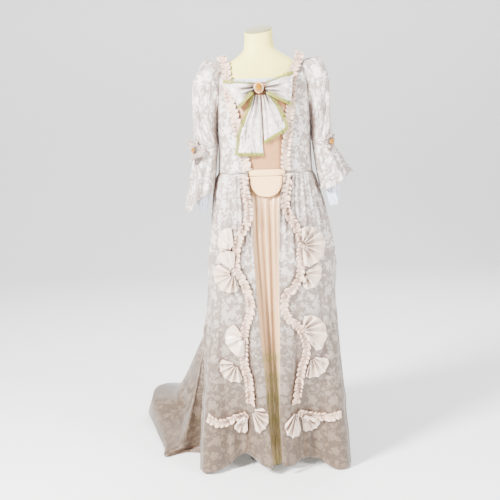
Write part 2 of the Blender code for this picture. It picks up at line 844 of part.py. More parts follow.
def folded_skirt_row(height, side, columns, inset=0.0):
    """Return the folded row of the skirt, or one moved in that leaves out its ridges."""
    folds = FOLDS_LEFT if side < 0 else FOLDS_RIGHT
    least = PETTICOAT_HEM if inset > 0.0 else 0.0
    row = []
    for share, point, normal in skirt_row(height, side, columns):
        push = fold_push(share, height, folds)
        if inset > 0.0:
            push = min(push, 0.0) + 0.25 * max(push, 0.0) - inset
        rise = Vector((0.0, 0.0, hem_rise(share, height, side, least)))
        row.append(point + normal * push + rise)
    return row


def neck_cut(point, height):
    """Return how far a point of the neck is raised by the slope of its cut."""
    share = ease((height - 1.440) / (FORM_TOP_Z - 1.440))
    return share * (NECK_CUT_SIDE * point.x + NECK_CUT_BACK * point.y)


def make_form():
    """Make the torso, its neck cap and the stand."""
    heights = (0.78, 0.86, 0.94, 1.01, 1.08, 1.15, 1.21, 1.26, 1.305, 1.335, 1.358, 1.376,
               1.39, 1.402, 1.414, 1.426, 1.438, 1.452, 1.47, FORM_TOP_Z)
    rings = []
    for height in heights:
        lean = NECK_LEAN * ease((height - 1.416) / 0.055)
        ring = [torso_point(FORM, degrees, height) for degrees in np.arange(0.0, 360.0, 18.0)]
        for point in ring:
            point.z += neck_cut(point, height)
            point.x += lean
        rings.append(ring)
    torso = solid_rings("form_torso", rings, "form")
    cap_rings = []
    for size, rise in ((0.92, 0.0004), (0.96, 0.0028), (0.86, 0.0052)):
        ring = []
        for degrees in np.arange(0.0, 360.0, 18.0):
            point = torso_point(FORM, degrees, FORM_TOP_Z)
            flat = Vector((point.x * size, point.y * size, FORM_TOP_Z))
            flat.z += neck_cut(flat, FORM_TOP_Z) + rise
            flat.x += NECK_LEAN
            ring.append(flat)
        cap_rings.append(ring)
    cap = solid_rings("neck_cap", cap_rings, "cap")
    profile = (
        (BASE_RADIUS - 0.003, 0.0), (BASE_RADIUS, 0.003), (BASE_RADIUS, BASE_HEIGHT - 0.003),
        (BASE_RADIUS - 0.004, BASE_HEIGHT), (0.040, BASE_HEIGHT + 0.003), (0.026, 0.026),
        (POLE_RADIUS, 0.045), (POLE_RADIUS, FORM_BOTTOM_Z - 0.0005),
    )
    stand_rings = []
    for radius, height in profile:
        ring = []
        for degrees in np.arange(0.0, 360.0, 20.0):
            angle = math.radians(degrees)
            level = max(height + FLOOR_Z, 0.0) if height < 0.5 else height
            ring.append(Vector((radius * math.cos(angle), radius * math.sin(angle), level)))
        stand_rings.append(ring)
    stand = solid_rings("stand", stand_rings, "steel")
    return torso, cap, stand


def robing_x(height, side):
    """Return the distance of the stomacher's edge from the centre."""
    left, right = smooth_row(ROBING_LINE, height)
    return left if side < 0 else right


def make_stomacher():
    """Make the front panel between the robings."""
    heights = [inner_z for inner_z, _ in BODICE_ROWS if inner_z <= NECKLINE_Z]
    grid = []
    for height in heights:
        left = -bodice_degrees(robing_x(height, -1) - SEAM * 0.5, height)
        right = bodice_degrees(robing_x(height, 1) - SEAM * 0.5, height)
        row = [torso_point(BODICE, left + (right - left) * c / 8.0, height) for c in range(9)]
        grid.append(row)
    return wall("stomacher", grid, WALL, "satin", flip=True)


def armhole_y(height):
    """Return the half depth of the armhole at a height."""
    share = (height - ARMHOLE_Z) / ARMHOLE_HALF_HEIGHT
    return ARMHOLE_HALF_DEPTH * math.sqrt(max(1.0 - share * share, 0.0))


def bodice_outer_degrees(height, front):
    """Return the direction of the armhole or side seam, from the piece's own face."""
    along = armhole_y(height) if height > ARMHOLE_Z - ARMHOLE_HALF_HEIGHT else 0.0
    half_width, ahead, behind = smooth_row(BODICE, height)
    depth = ahead if front else behind
    share = min(along / depth, 1.0)
    away = 90.0 - math.degrees(math.acos(share ** (TORSO_SQUARENESS / 2.0)))
    return 90.0 - away


def make_bodice_piece(name, side, front):
    """Make a bodice front or a bodice side back.

    Args:
        name: node name.
        side: -1 for the left of the picture, 1 for the right.
        front: True for the front.

    Returns:
        The new object.
    """
    columns = 6 if front else 4
    grid = []
    for inner_z, outer_z in BODICE_ROWS:
        if front:
            inner_x = robing_x(inner_z, side) + SEAM * 0.5
        else:
            inner_x = smooth_row(SACK_LINE, inner_z)[0] + SEAM * 0.5
        inner = bodice_degrees(inner_x, inner_z)
        outer = bodice_outer_degrees(outer_z, front)
        trim = math.degrees(SEAM * 0.6 / 0.05)
        outer -= trim
        inner = min(inner, outer - 6.0)
        row = []
        for c in range(columns + 1):
            share = c / columns
            degrees = inner + (outer - inner) * share
            height = inner_z + (outer_z - inner_z) * share
            turned = degrees if front else 180.0 - degrees
            row.append(torso_point(BODICE, side * turned, height))
        grid.append(row)
    return wall(name, grid, WALL, "damask", flip=(side > 0) == front)


def train_hem(share):
    """Return the hem of the sack and train at a share from left to right."""
    x, y, rise = smooth_row(TRAIN_HEM, share)
    return Vector((x, y, HEM_Z)), rise


def sack_upper_row(height, columns):
    """Return a row of the sack above the waist, from left to right."""
    edge = smooth_row(SACK_LINE, min(height, 1.4135))[0] - SEAM * 0.5
    inner = bodice_degrees(edge, height)
    drop = ease((1.405 - height) / (1.405 - WAIST_Z))
    row = []
    for c in range(columns + 1):
        share = 2.0 * c / columns - 1.0
        point = torso_point(BODICE, 180.0 - share * inner, height)
        room = max(1.0 - share * share, 0.0) ** 0.8
        pleat = 0.5 + 0.5 * math.cos(math.pi * SACK_PLEATS * share)
        push = (0.002 + SACK_BULGE * drop) * room + (0.004 + 0.010 * drop) * pleat * room
        row.append(point + Vector((0.0, push, 0.0)))
    return row


def make_sack(columns=26):
    """Make the sack back with its box pleats and the train."""
    grid = []
    for height in SACK_UPPER_HEIGHTS:
        grid.append(sack_upper_row(height, columns))
    waist = sack_upper_row(WAIST_Z, columns)
    grid.append(waist)
    for height in SKIRT_HEIGHTS[1:]:
        spread = (1.0 - (height / WAIST_Z) ** SACK_FLARE) ** 1.2
        if height == SKIRT_HEIGHTS[-1]:
            spread = 0.96
        row = []
        for c, start in enumerate(waist):
            share = 2.0 * c / columns - 1.0
            side = -1 if share < 0 else 1
            hem, rise = train_hem(share)
            seam = skirt_row(height, side, 1)[-1][1]
            corner = train_hem(float(side))[0]
            foot = waist[0] if side < 0 else waist[-1]
            plain = foot + (corner - foot) * spread
            pull = abs(share) ** 3
            point = start + (hem - start) * spread
            point += (seam - plain) * pull
            pleat = math.cos(math.pi * SACK_PLEATS * share) * (1.0 - abs(share)) ** 0.35
            amount = 0.014 + 0.030 * ease((1.0 - height) / 0.8)
            out = Vector((hem.x, hem.y - 0.05, 0.0)).normalized()
            point += out * (amount * pleat * (1.0 - spread * 0.55))
            low = ease(spread / 0.5) * (1.0 - abs(share) ** 8)
            lift = (rise + 0.020 * (0.5 + 0.5 * pleat) * (1.0 - spread)) * low
            point.z = height + lift
            if abs(share) == 1.0:
                point = Vector((seam.x, seam.y, height))
            row.append(point)
        grid.append(row)
    last = []
    for c, point in enumerate(grid[-1]):
        share = 2.0 * c / columns - 1.0
        hem, rise = train_hem(share)
        if abs(share) < 1.0:
            hem = hem + Vector((hem.x, hem.y - 0.3, 0.0)).normalized() * 0.012
        edge = FLOOR_Z + 0.0030 + HEM_FOLD * rise * (1.0 - abs(share) ** 8)
        last.append(Vector((hem.x, hem.y, edge)))
    grid.append(last)
    return wall("sack_back", grid, WALL, "damask", flip=False)


def make_skirt(name, side, columns=20):
    """Make one skirt front of the robe."""
    grid = []
    for height in SKIRT_HEIGHTS:
        row = folded_skirt_row(height, side, columns)
        row[-1] = row[-1] + Vector((0.0, -2.0 * SEAM, 0.0))
        grid.append(row)
    return wall(name, grid, WALL, "damask", flip=side > 0)


def form_radius(angle, height):
    """Return the distance of the form's surface from the middle in a direction."""
    half_width, front, back = smooth_row(FORM, height)
    across = abs(math.sin(angle)) / half_width
    depth = front if math.cos(angle) > 0 else back
    along = abs(math.cos(angle)) / depth
    square = TORSO_SQUARENESS
    return (across ** square + along ** square) ** (-1.0 / square)


def petticoat_row(height):
    """Return one ring of the petticoat, clear inside the robe skirt."""
    inset = 0.018 + 0.008 * ease((0.7 - height) / 0.6)
    left = folded_skirt_row(height, -1, 9, inset)
    right = folded_skirt_row(height, 1, 9, inset)
    gap = []
    deep = 0.006 + 0.034 * ease((0.9 - height) / 0.9)
    for i in range(1, 6):
        share = i / 6.0
        point = left[0].lerp(right[0], share)
        ripple = 0.0045 * (1.0 if i % 2 else -1.0)
        level = deep * math.sin(math.pi * share) ** 0.5
        gap.append(point + Vector((0.0, level + ripple, 0.0)))
    front = list(reversed(left)) + gap + right
    back = []
    reach = 0.128 + 0.07 * ease((0.98 - height) / 0.9)
    for i in range(1, 8):
        angle = math.pi * i / 8.0
        start = right[-1]
        side_x = start.x * math.cos(angle) if angle < math.pi / 2 else -left[-1].x * math.cos(angle)
        base_y = start.y
        back.append(Vector((side_x, base_y + (reach - base_y) * math.sin(angle) ** 0.8, start.z)))
    ring = front + back
    hug = ease((height - 0.95) / 0.075)
    shaped = []
    for point in ring:
        angle = math.atan2(point.x, -point.y)
        snug = form_radius(angle, max(height, FORM_BOTTOM_Z)) + 0.0050 + WALL
        near = Vector((math.sin(angle) * snug, -math.cos(angle) * snug, point.z))
        shaped.append(point.lerp(near, hug))
    return shaped


def make_petticoat():
    """Make the petticoat tube."""
    heights = (PETTICOAT_TOP_Z,) + SKIRT_HEIGHTS[1:]
    return wall("petticoat", [petticoat_row(height) for height in heights], WALL, "satin",
                closed=True, flip=True)


def make_sleeve(name, side, table):
    """Make a sleeve from the armhole to the elbow."""
    grid = []
    angles = [2.0 * math.pi * i / SLEEVE_SIDES for i in range(SLEEVE_SIDES)]
    ring = []
    for angle in angles:
        height = ARMHOLE_Z + ARMHOLE_HALF_HEIGHT * math.cos(angle)
        along = ARMHOLE_HALF_DEPTH * math.sin(angle)
        ring.append(Vector((side * (bodice_x(along, height) + ARMHOLE_CLEAR), along, height)))
    grid.append(ring)
    for number, (outer_x, outer_z, inner_x, inner_z, depth, centre_y) in enumerate(table):
        middle = Vector(((outer_x + inner_x) / 2.0, centre_y, (outer_z + inner_z) / 2.0))
        half = Vector(((outer_x - inner_x) / 2.0, 0.0, (outer_z - inner_z) / 2.0))
        way = half.normalized()
        ring = []
        for i, angle in enumerate(angles):
            across = signed_power(math.cos(angle), 0.9)
            along = signed_power(math.sin(angle), 0.9)
            pleat = HEAD_PLEAT * math.cos(5.0 * angle + 0.45 * number)
            if number == len(table) - 1:
                pleat = 0.0
            if math.cos(angle) < -0.4:
                pleat = 0.0
            point = middle + half * across + Vector((0.0, depth * along, 0.0))
            away = way * math.cos(angle) + Vector((0.0, math.sin(angle), 0.0))
            point += away * pleat
            ring.append(Vector((side * point.x, point.y, point.z)))
        grid.append(ring)
    return wall(name, grid, WALL, "damask", closed=True, flip=side > 0)


def make_frill(name, side, sleeve, frill, thickness, colour, inset, top_z, sides=16):
    """Make a flared tube below the elbow.

    Args:
        name: node name.
        side: -1 for the left of the picture, 1 for the right.
        sleeve: sleeve table, whose last row gives the top.
        frill: sizes of the lower edge.
        thickness: thickness of the cloth.
        colour: key of COLOURS.
        inset: how far the top lies inside the sleeve's outline.
        top_z: height of the top edge.
        sides: points round the arm.

    Returns:
        The new object.
    """
    outer_x, _, inner_x, _, depth, centre_y = sleeve[-1]
    middle_x = side * (outer_x + inner_x) / 2.0
    half_x = (outer_x - inner_x) / 2.0 - inset
    grid = []
    for share in (0.0, 0.3, 0.65, 1.0):
        ring = []
        for i in range(sides):
            degrees = 360.0 * i / sides
            angle = math.radians(degrees)
            low = smooth_row(frill.drops, degrees)[0]
            flare = share ** 1.15
            across = signed_power(math.cos(angle), 0.9)
            along = signed_power(math.sin(angle), 0.9)
            ripple = frill.ripple * share * (math.cos(frill.waves * angle) + frill.side)
            wide = half_x + (frill.half_width - half_x) * flare + ripple
            deep = (depth - inset) + (frill.half_depth - depth + inset) * flare + ripple
            x = middle_x + (frill.centre_x - middle_x) * flare + side * wide * across
            y = centre_y + (frill.centre_y - centre_y) * flare + deep * along
            ring.append(Vector((x, y, top_z + (low - top_z) * share)))
        grid.append(ring)
    return wall(name, grid, thickness, colour, closed=True, flip=side > 0)


def make_ruffle(name, path, waves, below, colour="peach", half_width=RUFFLE_HALF_WIDTH,
                height=RUFFLE_HEIGHT):
    """Make a gathered strip that lies on the cloth below a path."""
    plan = ruffle_plan(path, half_width, height, waves)
    return laid_wall(name, FRONT, below, plan, 0.004, colour)


def make_robing(name, side, below):
    """Make the gathered strip from the waist to its puff over the shoulder."""
    path = []
    for height in (1.049, 1.10, 1.19, 1.25, 1.30, 1.346, 1.375):
        path.append((side * robing_x(height, side), height))
    path.extend(ROBING_PUFF_LEFT if side < 0 else ROBING_PUFF_RIGHT)
    plan = ruffle_plan(path, ROBING_HALF_WIDTH, ROBING_HEIGHT, ROBING_WAVES)
    return laid_wall(name, FRONT, below, plan, 0.004, "peach")


def make_fan(fan, below):
    """Make a fan-pleated piece on the skirt and ruffle below it."""
    return laid_wall(fan.name, FRONT, below, fan_plan(fan), 0.010, "peach")


def make_loop(name, corners, below):
    """Make a bow loop as a flattened open tube.

    Args:
        name: node name.
        corners: knot edge bottom and top, far edge bottom and top.
        below: objects that the loop lies on.

    Returns:
        The new object.
    """
    knot_low, knot_high, far_low, far_high = [Vector((x, 0.0, z)) for x, z in corners]
    tree = tree_of(below)
    out = (0.02, 0.22, 0.45, 0.68, 0.88, 1.0)
    side = -1 if far_low.x < knot_low.x else 1
    grid = []
    for share in (0.0, 0.33, 0.67, 1.0):
        near = knot_low.lerp(knot_high, share)
        far = far_low.lerp(far_high, share)
        front = []
        back = []
        for distance in out:
            place = near.lerp(far, distance)
            puff = LOOP_PUFF * (math.sin(math.pi * min(distance, 0.93)) ** 0.6) + 0.0022
            rest = resting_height(FRONT, tree, place.x, place.z, 0.018)
            level = rest + REST + THIN_WALL
            front.append(Vector((place.x, -(level + 2.0 * puff), place.z)))
            back.append(Vector((place.x, -level, place.z)))
        tip = near.lerp(far, 1.03)
        middle = (front[-1] + back[-1]) * 0.5
        ring = front + [Vector((tip.x, middle.y, tip.z))] + list(reversed(back))
        grid.append(ring)
    return seat(FRONT, tree, lambda: wall(name, grid, THIN_WALL, "bow", closed=True,
                                          flip=side > 0))


def make_tail(name, rows, below):
    """Make a hanging end of the bow."""
    table = [(float(i), *row) for i, row in enumerate(rows)]
    plan = []
    steps = 2 * (len(rows) - 1)
    for i in range(steps + 1):
        left_x, left_z, right_x, right_z = smooth_row(table, i * 0.5)
        row = []
        for c in range(6):
            share = c / 5.0
            wave = 0.0022 * (1.0 + math.cos(2.0 * math.pi * share * 1.5 + 0.4 * i))
            x = left_x + (right_x - left_x) * share
            z = left_z + (right_z - left_z) * share
            row.append((x, z, wave))
        plan.append(row)
    return laid_wall(name, FRONT, below, plan, 0.012, "bow")


def make_edging(name, path, waves, below):
    """Make a narrow beaded edge that lies on the edge of the bow."""
    plan = ruffle_plan(path, EDGING_HALF_WIDTH, EDGING_HEIGHT, waves, (-1.0, 1.0), 3)
    return laid_wall(name, FRONT, below, plan, 0.010, "lime")


def make_pad(name, view, place, halves, below, colour, sides=14):
    """Make a rounded oval solid that lies on what is below it."""
    tree = tree_of(below)
    levels = [resting_height(view, tree, place[0], place[1], reach)
              for reach in (0.0, halves[0] * 0.45, halves[0] * 0.9)]
    base = max(level for level in levels if level is not None) + REST
    rings = []
    for size, rise in ((0.90, 0.0), (1.0, 0.35), (0.92, 0.9), (0.66, 1.6), (0.30, 2.0)):
        ring = []
        for i in range(sides):
            angle = 2.0 * math.pi * i / sides
            ring.append(view.place(
                place[0] + halves[0] * size * math.cos(angle),
                place[1] + halves[1] * size * math.sin(angle),
                base + halves[2] * rise,
            ))
        rings.append(ring)
    return seat(view, tree, lambda: solid_rings(name, rings, colour))


def make_elbow_bow(name, view, below, wide, tall):
    """Make a pleated bow at the elbow, laid round its stone."""
    columns = 16
    plan = []
    for share in (0.0, 0.55, 1.0):
        row = []
        for c in range(columns):
            angle = 2.0 * math.pi * c / columns
            radius = 0.007 + share * (wide - 0.007) * (0.42 + 0.58 * abs(math.cos(angle)))
            squeeze = 1.0 + (tall / wide - 1.0) * share
            lift = 0.006 * (c % 2) * (0.3 + 0.7 * share)
            row.append((radius * math.cos(angle), radius * math.sin(angle) * squeeze, lift))
        plan.append(row)
    return laid_wall(name, view, below, plan, 0.004, "peach", closed=True)


def make_tab():
    """Make the waist band and the rounded tab below it."""
    grid = []
    for height in (BAND_BOTTOM_Z, BAND_TOP_Z):
        row = []
        for c in range(13):
            x = -0.040 + 0.082 * c / 12.0
            level = max(height, WAIST_Z + 0.0004)
            degrees = bodice_degrees(x, level)
            row.append(torso_point(BODICE, math.copysign(degrees, x), level, WALL + 1.2 * SEAM))
            row[-1].z = height
        grid.append(row)
    band = wall("waist_band", grid, WALL, "cream", flip=True)
    grid = []
    for i in range(7):
        share = i / 6.0
        height = TAB_TOP_Z + (TAB_BOTTOM_Z - TAB_TOP_Z) * math.sin(share * math.pi / 2.0)
        drop = (TAB_TOP_Z - height) / (TAB_TOP_Z - TAB_BOTTOM_Z)
        wide = TAB_HALF_WIDTH * max(1.0 - drop ** 2.6, 0.0) ** 0.5 + 0.004
        row = []
        for c in range(7):
            x = wide * (c / 3.0 - 1.0)
            forward = 0.1322 + 0.006 * drop - 0.22 * x * x
            row.append(Vector((x + 0.001, -forward, height)))
        grid.append(row)
    tab = wall("stomacher_tab", grid, WALL, "cream", inward=Vector((0.0, 1.0, 0.0)))
    return band, tab


def build():
    """Build every piece, each laid on the ones below it."""
    clear_scene()
    torso = make_form()[0]
    stomacher = make_stomacher()
    fronts = [make_bodice_piece("bodice_front_left", -1, True),
              make_bodice_piece("bodice_front_right", 1, True)]
    make_bodice_piece("bodice_back_left", -1, False)
    make_bodice_piece("bodice_back_right", 1, False)
    make_sack()
    skirts = [make_skirt("skirt_left", -1), make_skirt("skirt_right", 1)]
    make_petticoat()
    band, tab = make_tab()
    sleeves = [make_sleeve("sleeve_left", -1, SLEEVE_LEFT),
               make_sleeve("sleeve_right", 1, SLEEVE_RIGHT)]
    top = ELBOW_Z
    flounces = [
        make_frill("flounce_left", -1, SLEEVE_LEFT, FLOUNCE_LEFT, WALL, "damask", 0.0, top),
        make_frill("flounce_right", 1, SLEEVE_RIGHT, FLOUNCE_RIGHT, WALL, "damask", 0.0, top),
    ]
    make_frill("lace_frill_left", -1, SLEEVE_LEFT, LACE_LEFT, LACE_WALL, "lace", 0.0024, top - 0.001)
    make_frill("lace_frill_right", 1, SLEEVE_RIGHT, LACE_RIGHT, LACE_WALL, "lace", 0.0024,
               top - 0.001)

    shoulders = fronts + [stomacher, torso] + sleeves
    robings = [make_robing("robing_left", -1, shoulders),
               make_robing("robing_right", 1, shoulders)]
    lace_path = [(-0.099 + 0.172 * i / 6.0, NECKLINE_Z - 0.003) for i in range(7)]
    lace = make_ruffle("neck_lace", lace_path, 7, [stomacher], "lace", 0.0055, 0.0030)

    serpentines = [
        make_ruffle("serpentine_left", SERPENTINE_LEFT, SERPENTINE_WAVES, [skirts[0]]),
        make_ruffle("serpentine_right", SERPENTINE_RIGHT, SERPENTINE_WAVES, [skirts[1]]),
    ]
    frills = [
        make_ruffle("hem_frill_left", HEM_FRILL_LEFT, HEM_FRILL_WAVES, [skirts[0]]),
        make_ruffle("hem_frill_right", HEM_FRILL_RIGHT, HEM_FRILL_WAVES + 2, [skirts[1]]),
    ]
    laid = {-1: [skirts[0], serpentines[0], frills[0]], 1: [skirts[1], serpentines[1], frills[1]]}
    for fan in FANS:
        side = -1 if fan.x < 0 else 1
        laid[side].append(make_fan(fan, laid[side]))

    chest = fronts + [stomacher] + robings + [lace]
    tails = [make_tail("bow_tail_left", TAIL_LEFT, chest), make_tail("bow_tail_right", TAIL_RIGHT, chest)]
    loops = [make_loop("bow_loop_left", LOOP_LEFT, chest), make_loop("bow_loop_right", LOOP_RIGHT, chest)]
    chest = chest + tails + loops
    left_edge = [(x + 0.003, z) for x, z, _, _ in TAIL_LEFT] + [(TAIL_LEFT[-1][2] - 0.004, 1.104)]
    right_edge = [(x - 0.003, z) for _, _, x, z in TAIL_RIGHT] + [(0.004, 1.146)]
    edgings = [
        make_edging("edging_tail_left", left_edge, 7, chest),
        make_edging("edging_tail_right", right_edge, 6, chest),
    ]
    for label, corners in (("left", LOOP_LEFT), ("right", LOOP_RIGHT)):
        for edge, first, second, rise in (("low", 0, 2, 0.004), ("top", 1, 3, -0.004)):
            near = corners[first]
            far = corners[second]
            path = []
            for i in range(4):
                share = 0.10 + 0.84 * i / 3.0
                path.append((near[0] + (far[0] - near[0]) * share,
                             near[1] + (far[1] - near[1]) * share + rise))
            edgings.append(make_edging("edging_loop_%s_%s" % (label, edge), path, 3, chest))
    knot = make_pad("bow_knot", FRONT, KNOT, KNOT_HALF, chest + edgings, "bow")
    setting = make_pad("brooch_setting", FRONT, KNOT, SETTING_HALF, [knot], "gold")
    make_pad("brooch_stone", FRONT, KNOT, STONE_HALF, [setting], "amber")

    left_view = View(Vector((-0.205, -0.030, 1.118)), Vector((0.30, -0.954, 0.0)),
                     Vector((0.0, 0.0, 1.0)))
    right_view = View(Vector((0.2080, -0.020, 1.132)), Vector((0.925, 0.380, 0.0)),
                      Vector((0.0, 0.0, 1.0)))
    for label, view, arm, size in (("left", left_view, [sleeves[0], flounces[0]], ELBOW_BOW_LEFT),
                                   ("right", right_view, [sleeves[1], flounces[1]], ELBOW_BOW_RIGHT)):
        bow = make_elbow_bow("elbow_bow_" + label, view, arm, size[0], size[1])
        make_pad("elbow_gem_" + label, view, (0.0, 0.0), ELBOW_GEM_HALF, arm + [bow], "amber", 12)
    for item in bpy.data.objects:
        for vertex in item.data.vertices:
            vertex.co.z -= FLOOR_Z


if __name__ == "__main__":
    build()
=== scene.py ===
"""Dressed scene of a robe a la francaise on a dress form.

Each piece of cloth is a thin shell on the same section tables as its solid, with finer
folds, creases, gathers and edges. Metres, +Z up; the wearer faces -Y. A side is -1 for
the left of the picture and 1 for the right.
"""

import logging
import math
from dataclasses import dataclass, field
from enum import Enum
from typing import Optional, Union

import bmesh
import bpy
import numpy as np
from mathutils import Matrix, Vector
from mathutils.bvhtree import BVHTree

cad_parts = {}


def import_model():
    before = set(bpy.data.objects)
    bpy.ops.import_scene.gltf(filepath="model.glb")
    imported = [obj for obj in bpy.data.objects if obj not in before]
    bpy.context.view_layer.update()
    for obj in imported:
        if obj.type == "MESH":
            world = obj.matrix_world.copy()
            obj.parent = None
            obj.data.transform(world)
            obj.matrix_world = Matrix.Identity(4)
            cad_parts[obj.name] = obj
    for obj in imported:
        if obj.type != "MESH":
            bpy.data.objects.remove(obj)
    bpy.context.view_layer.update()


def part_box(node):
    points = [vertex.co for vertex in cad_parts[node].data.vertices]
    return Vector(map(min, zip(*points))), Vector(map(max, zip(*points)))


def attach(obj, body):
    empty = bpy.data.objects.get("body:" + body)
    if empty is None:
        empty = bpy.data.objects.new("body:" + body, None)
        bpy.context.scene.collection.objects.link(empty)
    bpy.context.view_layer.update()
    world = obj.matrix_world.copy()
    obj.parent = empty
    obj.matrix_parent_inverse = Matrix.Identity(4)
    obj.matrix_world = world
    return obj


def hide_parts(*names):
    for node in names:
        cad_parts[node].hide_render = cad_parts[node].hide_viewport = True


LOG = logging.getLogger("robe")

Numbers = Union[float, np.ndarray]
Pair = tuple[float, float]
Triple = tuple[float, float, float]
Socket = bpy.types.NodeSocket
Feed = Union[Socket, float, tuple]
Piece = bpy.types.Object

SIDES = {-1: "left", 1: "right"}
# Heights are measured from a level that lies FLOOR_Z below the floor
FLOOR_Z = 0.032
WAIST_Z = 1.040
SKIRT_TOP_Z = 1.0394
HEM_Z = FLOOR_Z + 0.004
NECKLINE_Z = 1.346
ELBOW_Z = 1.138
ARMHOLE_Z = 1.3005
ARMHOLE_HALF_HEIGHT = 0.0875
ARMHOLE_HALF_DEPTH = 0.052
FORM_BOTTOM_Z = 0.780
FORM_TOP_Z = 1.514
NECK_CUT_SIDE = 0.115
NECK_CUT_BACK = 0.37
NECK_LEAN = -0.01
SQUARE = 2.2
SHELL = 0.0012
SEAM_GAP = 0.0003
# From how far out the ground is felt
FAR = 0.60


class Table:
    """A short table with named columns, read along smooth curves."""

    def __init__(self, columns: str, rows: tuple[tuple[float, ...], ...]) -> None:
        """Keep the rows in the order of their first column.

        Args:
            columns: names of the columns, the key first.
            rows: one tuple of numbers for each key.
        """
        data = np.array(sorted(rows), dtype=float)
        self.names = columns.split()
        self.keys = data[:, 0]
        self.values = data[:, 1:]
        slopes = np.diff(self.values, axis=0) / np.diff(self.keys)[:, None]
        inner = np.where(slopes[:-1] * slopes[1:] > 0, 0.5 * (slopes[:-1] + slopes[1:]), 0.0)
        self.tangents = np.vstack([slopes[:1], inner, slopes[-1:]])

    def read(self, name: str, at: Numbers) -> np.ndarray:
        """Return one column at the given keys.

        Args:
            name: column name.
            at: number or array of keys.

        Returns:
            Array of values.
        """
        column = self.names.index(name) - 1
        at = np.clip(np.asarray(at, dtype=float), self.keys[0], self.keys[-1])
        cell = np.clip(np.searchsorted(self.keys, at) - 1, 0, len(self.keys) - 2)
        span = self.keys[cell + 1] - self.keys[cell]
        t = (at - self.keys[cell]) / span
        low = self.values[cell, column]
        high = self.values[cell + 1, column]
        start = self.tangents[cell, column]
        end = self.tangents[cell + 1, column]
        return (
            (2 * t**3 - 3 * t**2 + 1) * low
            + (t**3 - 2 * t**2 + t) * span * start
            + (3 * t**2 - 2 * t**3) * high
            + (t**3 - t**2) * span * end
        )


FORM = Table("z half front back", (
    (0.78, 0.146, 0.098, 0.112),
    (0.88, 0.15, 0.103, 0.118),
    (0.96, 0.145, 0.102, 0.104),
    (1.04, 0.138, 0.1, 0.088),
    (1.13, 0.143, 0.108, 0.088),
    (1.22, 0.15, 0.121, 0.095),
    (1.3, 0.155, 0.112, 0.098),
    (1.34, 0.157, 0.092, 0.092),
    (1.375, 0.15, 0.068, 0.08),
    (1.398, 0.133, 0.056, 0.07),
    (1.425, 0.088, 0.05, 0.06),
    (1.45, 0.056, 0.045, 0.052),
    (1.475, 0.049, 0.042, 0.048),
    (1.54, 0.047, 0.044, 0.048),
))
BODICE = Table("z half front back", (
    (1.04, 0.161, 0.13, 0.1),
    (1.1, 0.158, 0.129, 0.098),
    (1.16, 0.1575, 0.13, 0.1),
    (1.22, 0.1595, 0.131, 0.103),
    (1.3, 0.161, 0.118, 0.104),
    (1.34, 0.1615, 0.0965, 0.0965),
    (1.375, 0.1538, 0.0716, 0.0836),
    (1.398, 0.1376, 0.0596, 0.0736),
    (1.425, 0.0928, 0.0536, 0.0636),
    (1.45, 0.0568, 0.0486, 0.0556),
))
SKIRT = Table("z left right front back seam square", (
    (0.0, 0.248, 0.248, 0.176, 0.245, 100.0, 3.1),
    (0.12, 0.24, 0.243, 0.174, 0.24, 100.0, 3.0),
    (0.33, 0.227, 0.237, 0.17, 0.225, 102.0, 2.8),
    (0.58, 0.213, 0.231, 0.165, 0.2, 105.0, 2.6),
    (0.8, 0.195, 0.224, 0.16, 0.165, 108.0, 2.5),
    (0.93, 0.179, 0.193, 0.153, 0.135, 112.0, 2.4),
    (0.985, 0.1745, 0.178, 0.144, 0.115, 115.0, 2.3),
    (1.04, 0.161, 0.161, 0.13, 0.1, 119.0, 2.2),
))
OPENING = Table("z left right", (
    (0.0, 0.001, 0.03),
    (0.12, 0.01, 0.024),
    (0.21, 0.017, 0.022),
    (0.345, 0.022, 0.025),
    (0.51, 0.034, 0.03),
    (0.61, 0.04, 0.031),
    (0.8, 0.049, 0.036),
    (0.96, 0.052, 0.045),
    (1.04, 0.06, 0.064),
))
ROBING_LINE = Table("z left right", (
    (1.04, 0.057, 0.066),
    (1.1, 0.071, 0.068),
    (1.19, 0.086, 0.078),
    (1.25, 0.103, 0.087),
    (1.346, 0.119, 0.0965),
    (1.39, 0.119, 0.108),
    (1.414, 0.1105, 0.1105),
))
BODICE_ROWS = Table("row inner outer", tuple(
    (row, inner, outer)
    for row, (inner, outer) in enumerate((
        (1.0404, 1.0404), (1.100, 1.100), (1.160, 1.160), (1.213, 1.2125), (1.250, 1.228),
        (1.290, 1.256), (1.320, 1.290), (1.346, 1.322), (1.370, 1.350), (1.390, 1.370),
        (1.404, 1.382), (1.411, 1.3875),
    ))
))
SACK_LINE = Table("z half", (
    (1.04, 0.14),
    (1.13, 0.134),
    (1.25, 0.128),
    (1.346, 0.122),
    (1.39, 0.116),
    (1.414, 0.1105),
))
TRAIN_HEM = Table("share x y rise", (
    (-1.0, -0.245, 0.043, 0.004),
    (-0.93, -0.305, 0.06, 0.004),
    (-0.86, -0.375, 0.018, 0.008),
    (-0.76, -0.3915, 0.1, 0.022),
    (-0.62, -0.448, 0.304, 0.05),
    (-0.48, -0.4985, 0.508, 0.088),
    (-0.34, -0.443, 0.722, 0.08),
    (-0.18, -0.244, 0.887, 0.03),
    (0.0, -0.05, 0.931, 0.01),
    (0.22, 0.174, 0.887, 0.02),
    (0.42, 0.296, 0.693, 0.036),
    (0.6, 0.296, 0.46, 0.04),
    (0.78, 0.27, 0.23, 0.012),
    (0.9, 0.264, 0.13, 0.004),
    (1.0, 0.245, 0.079, 0.004),
))
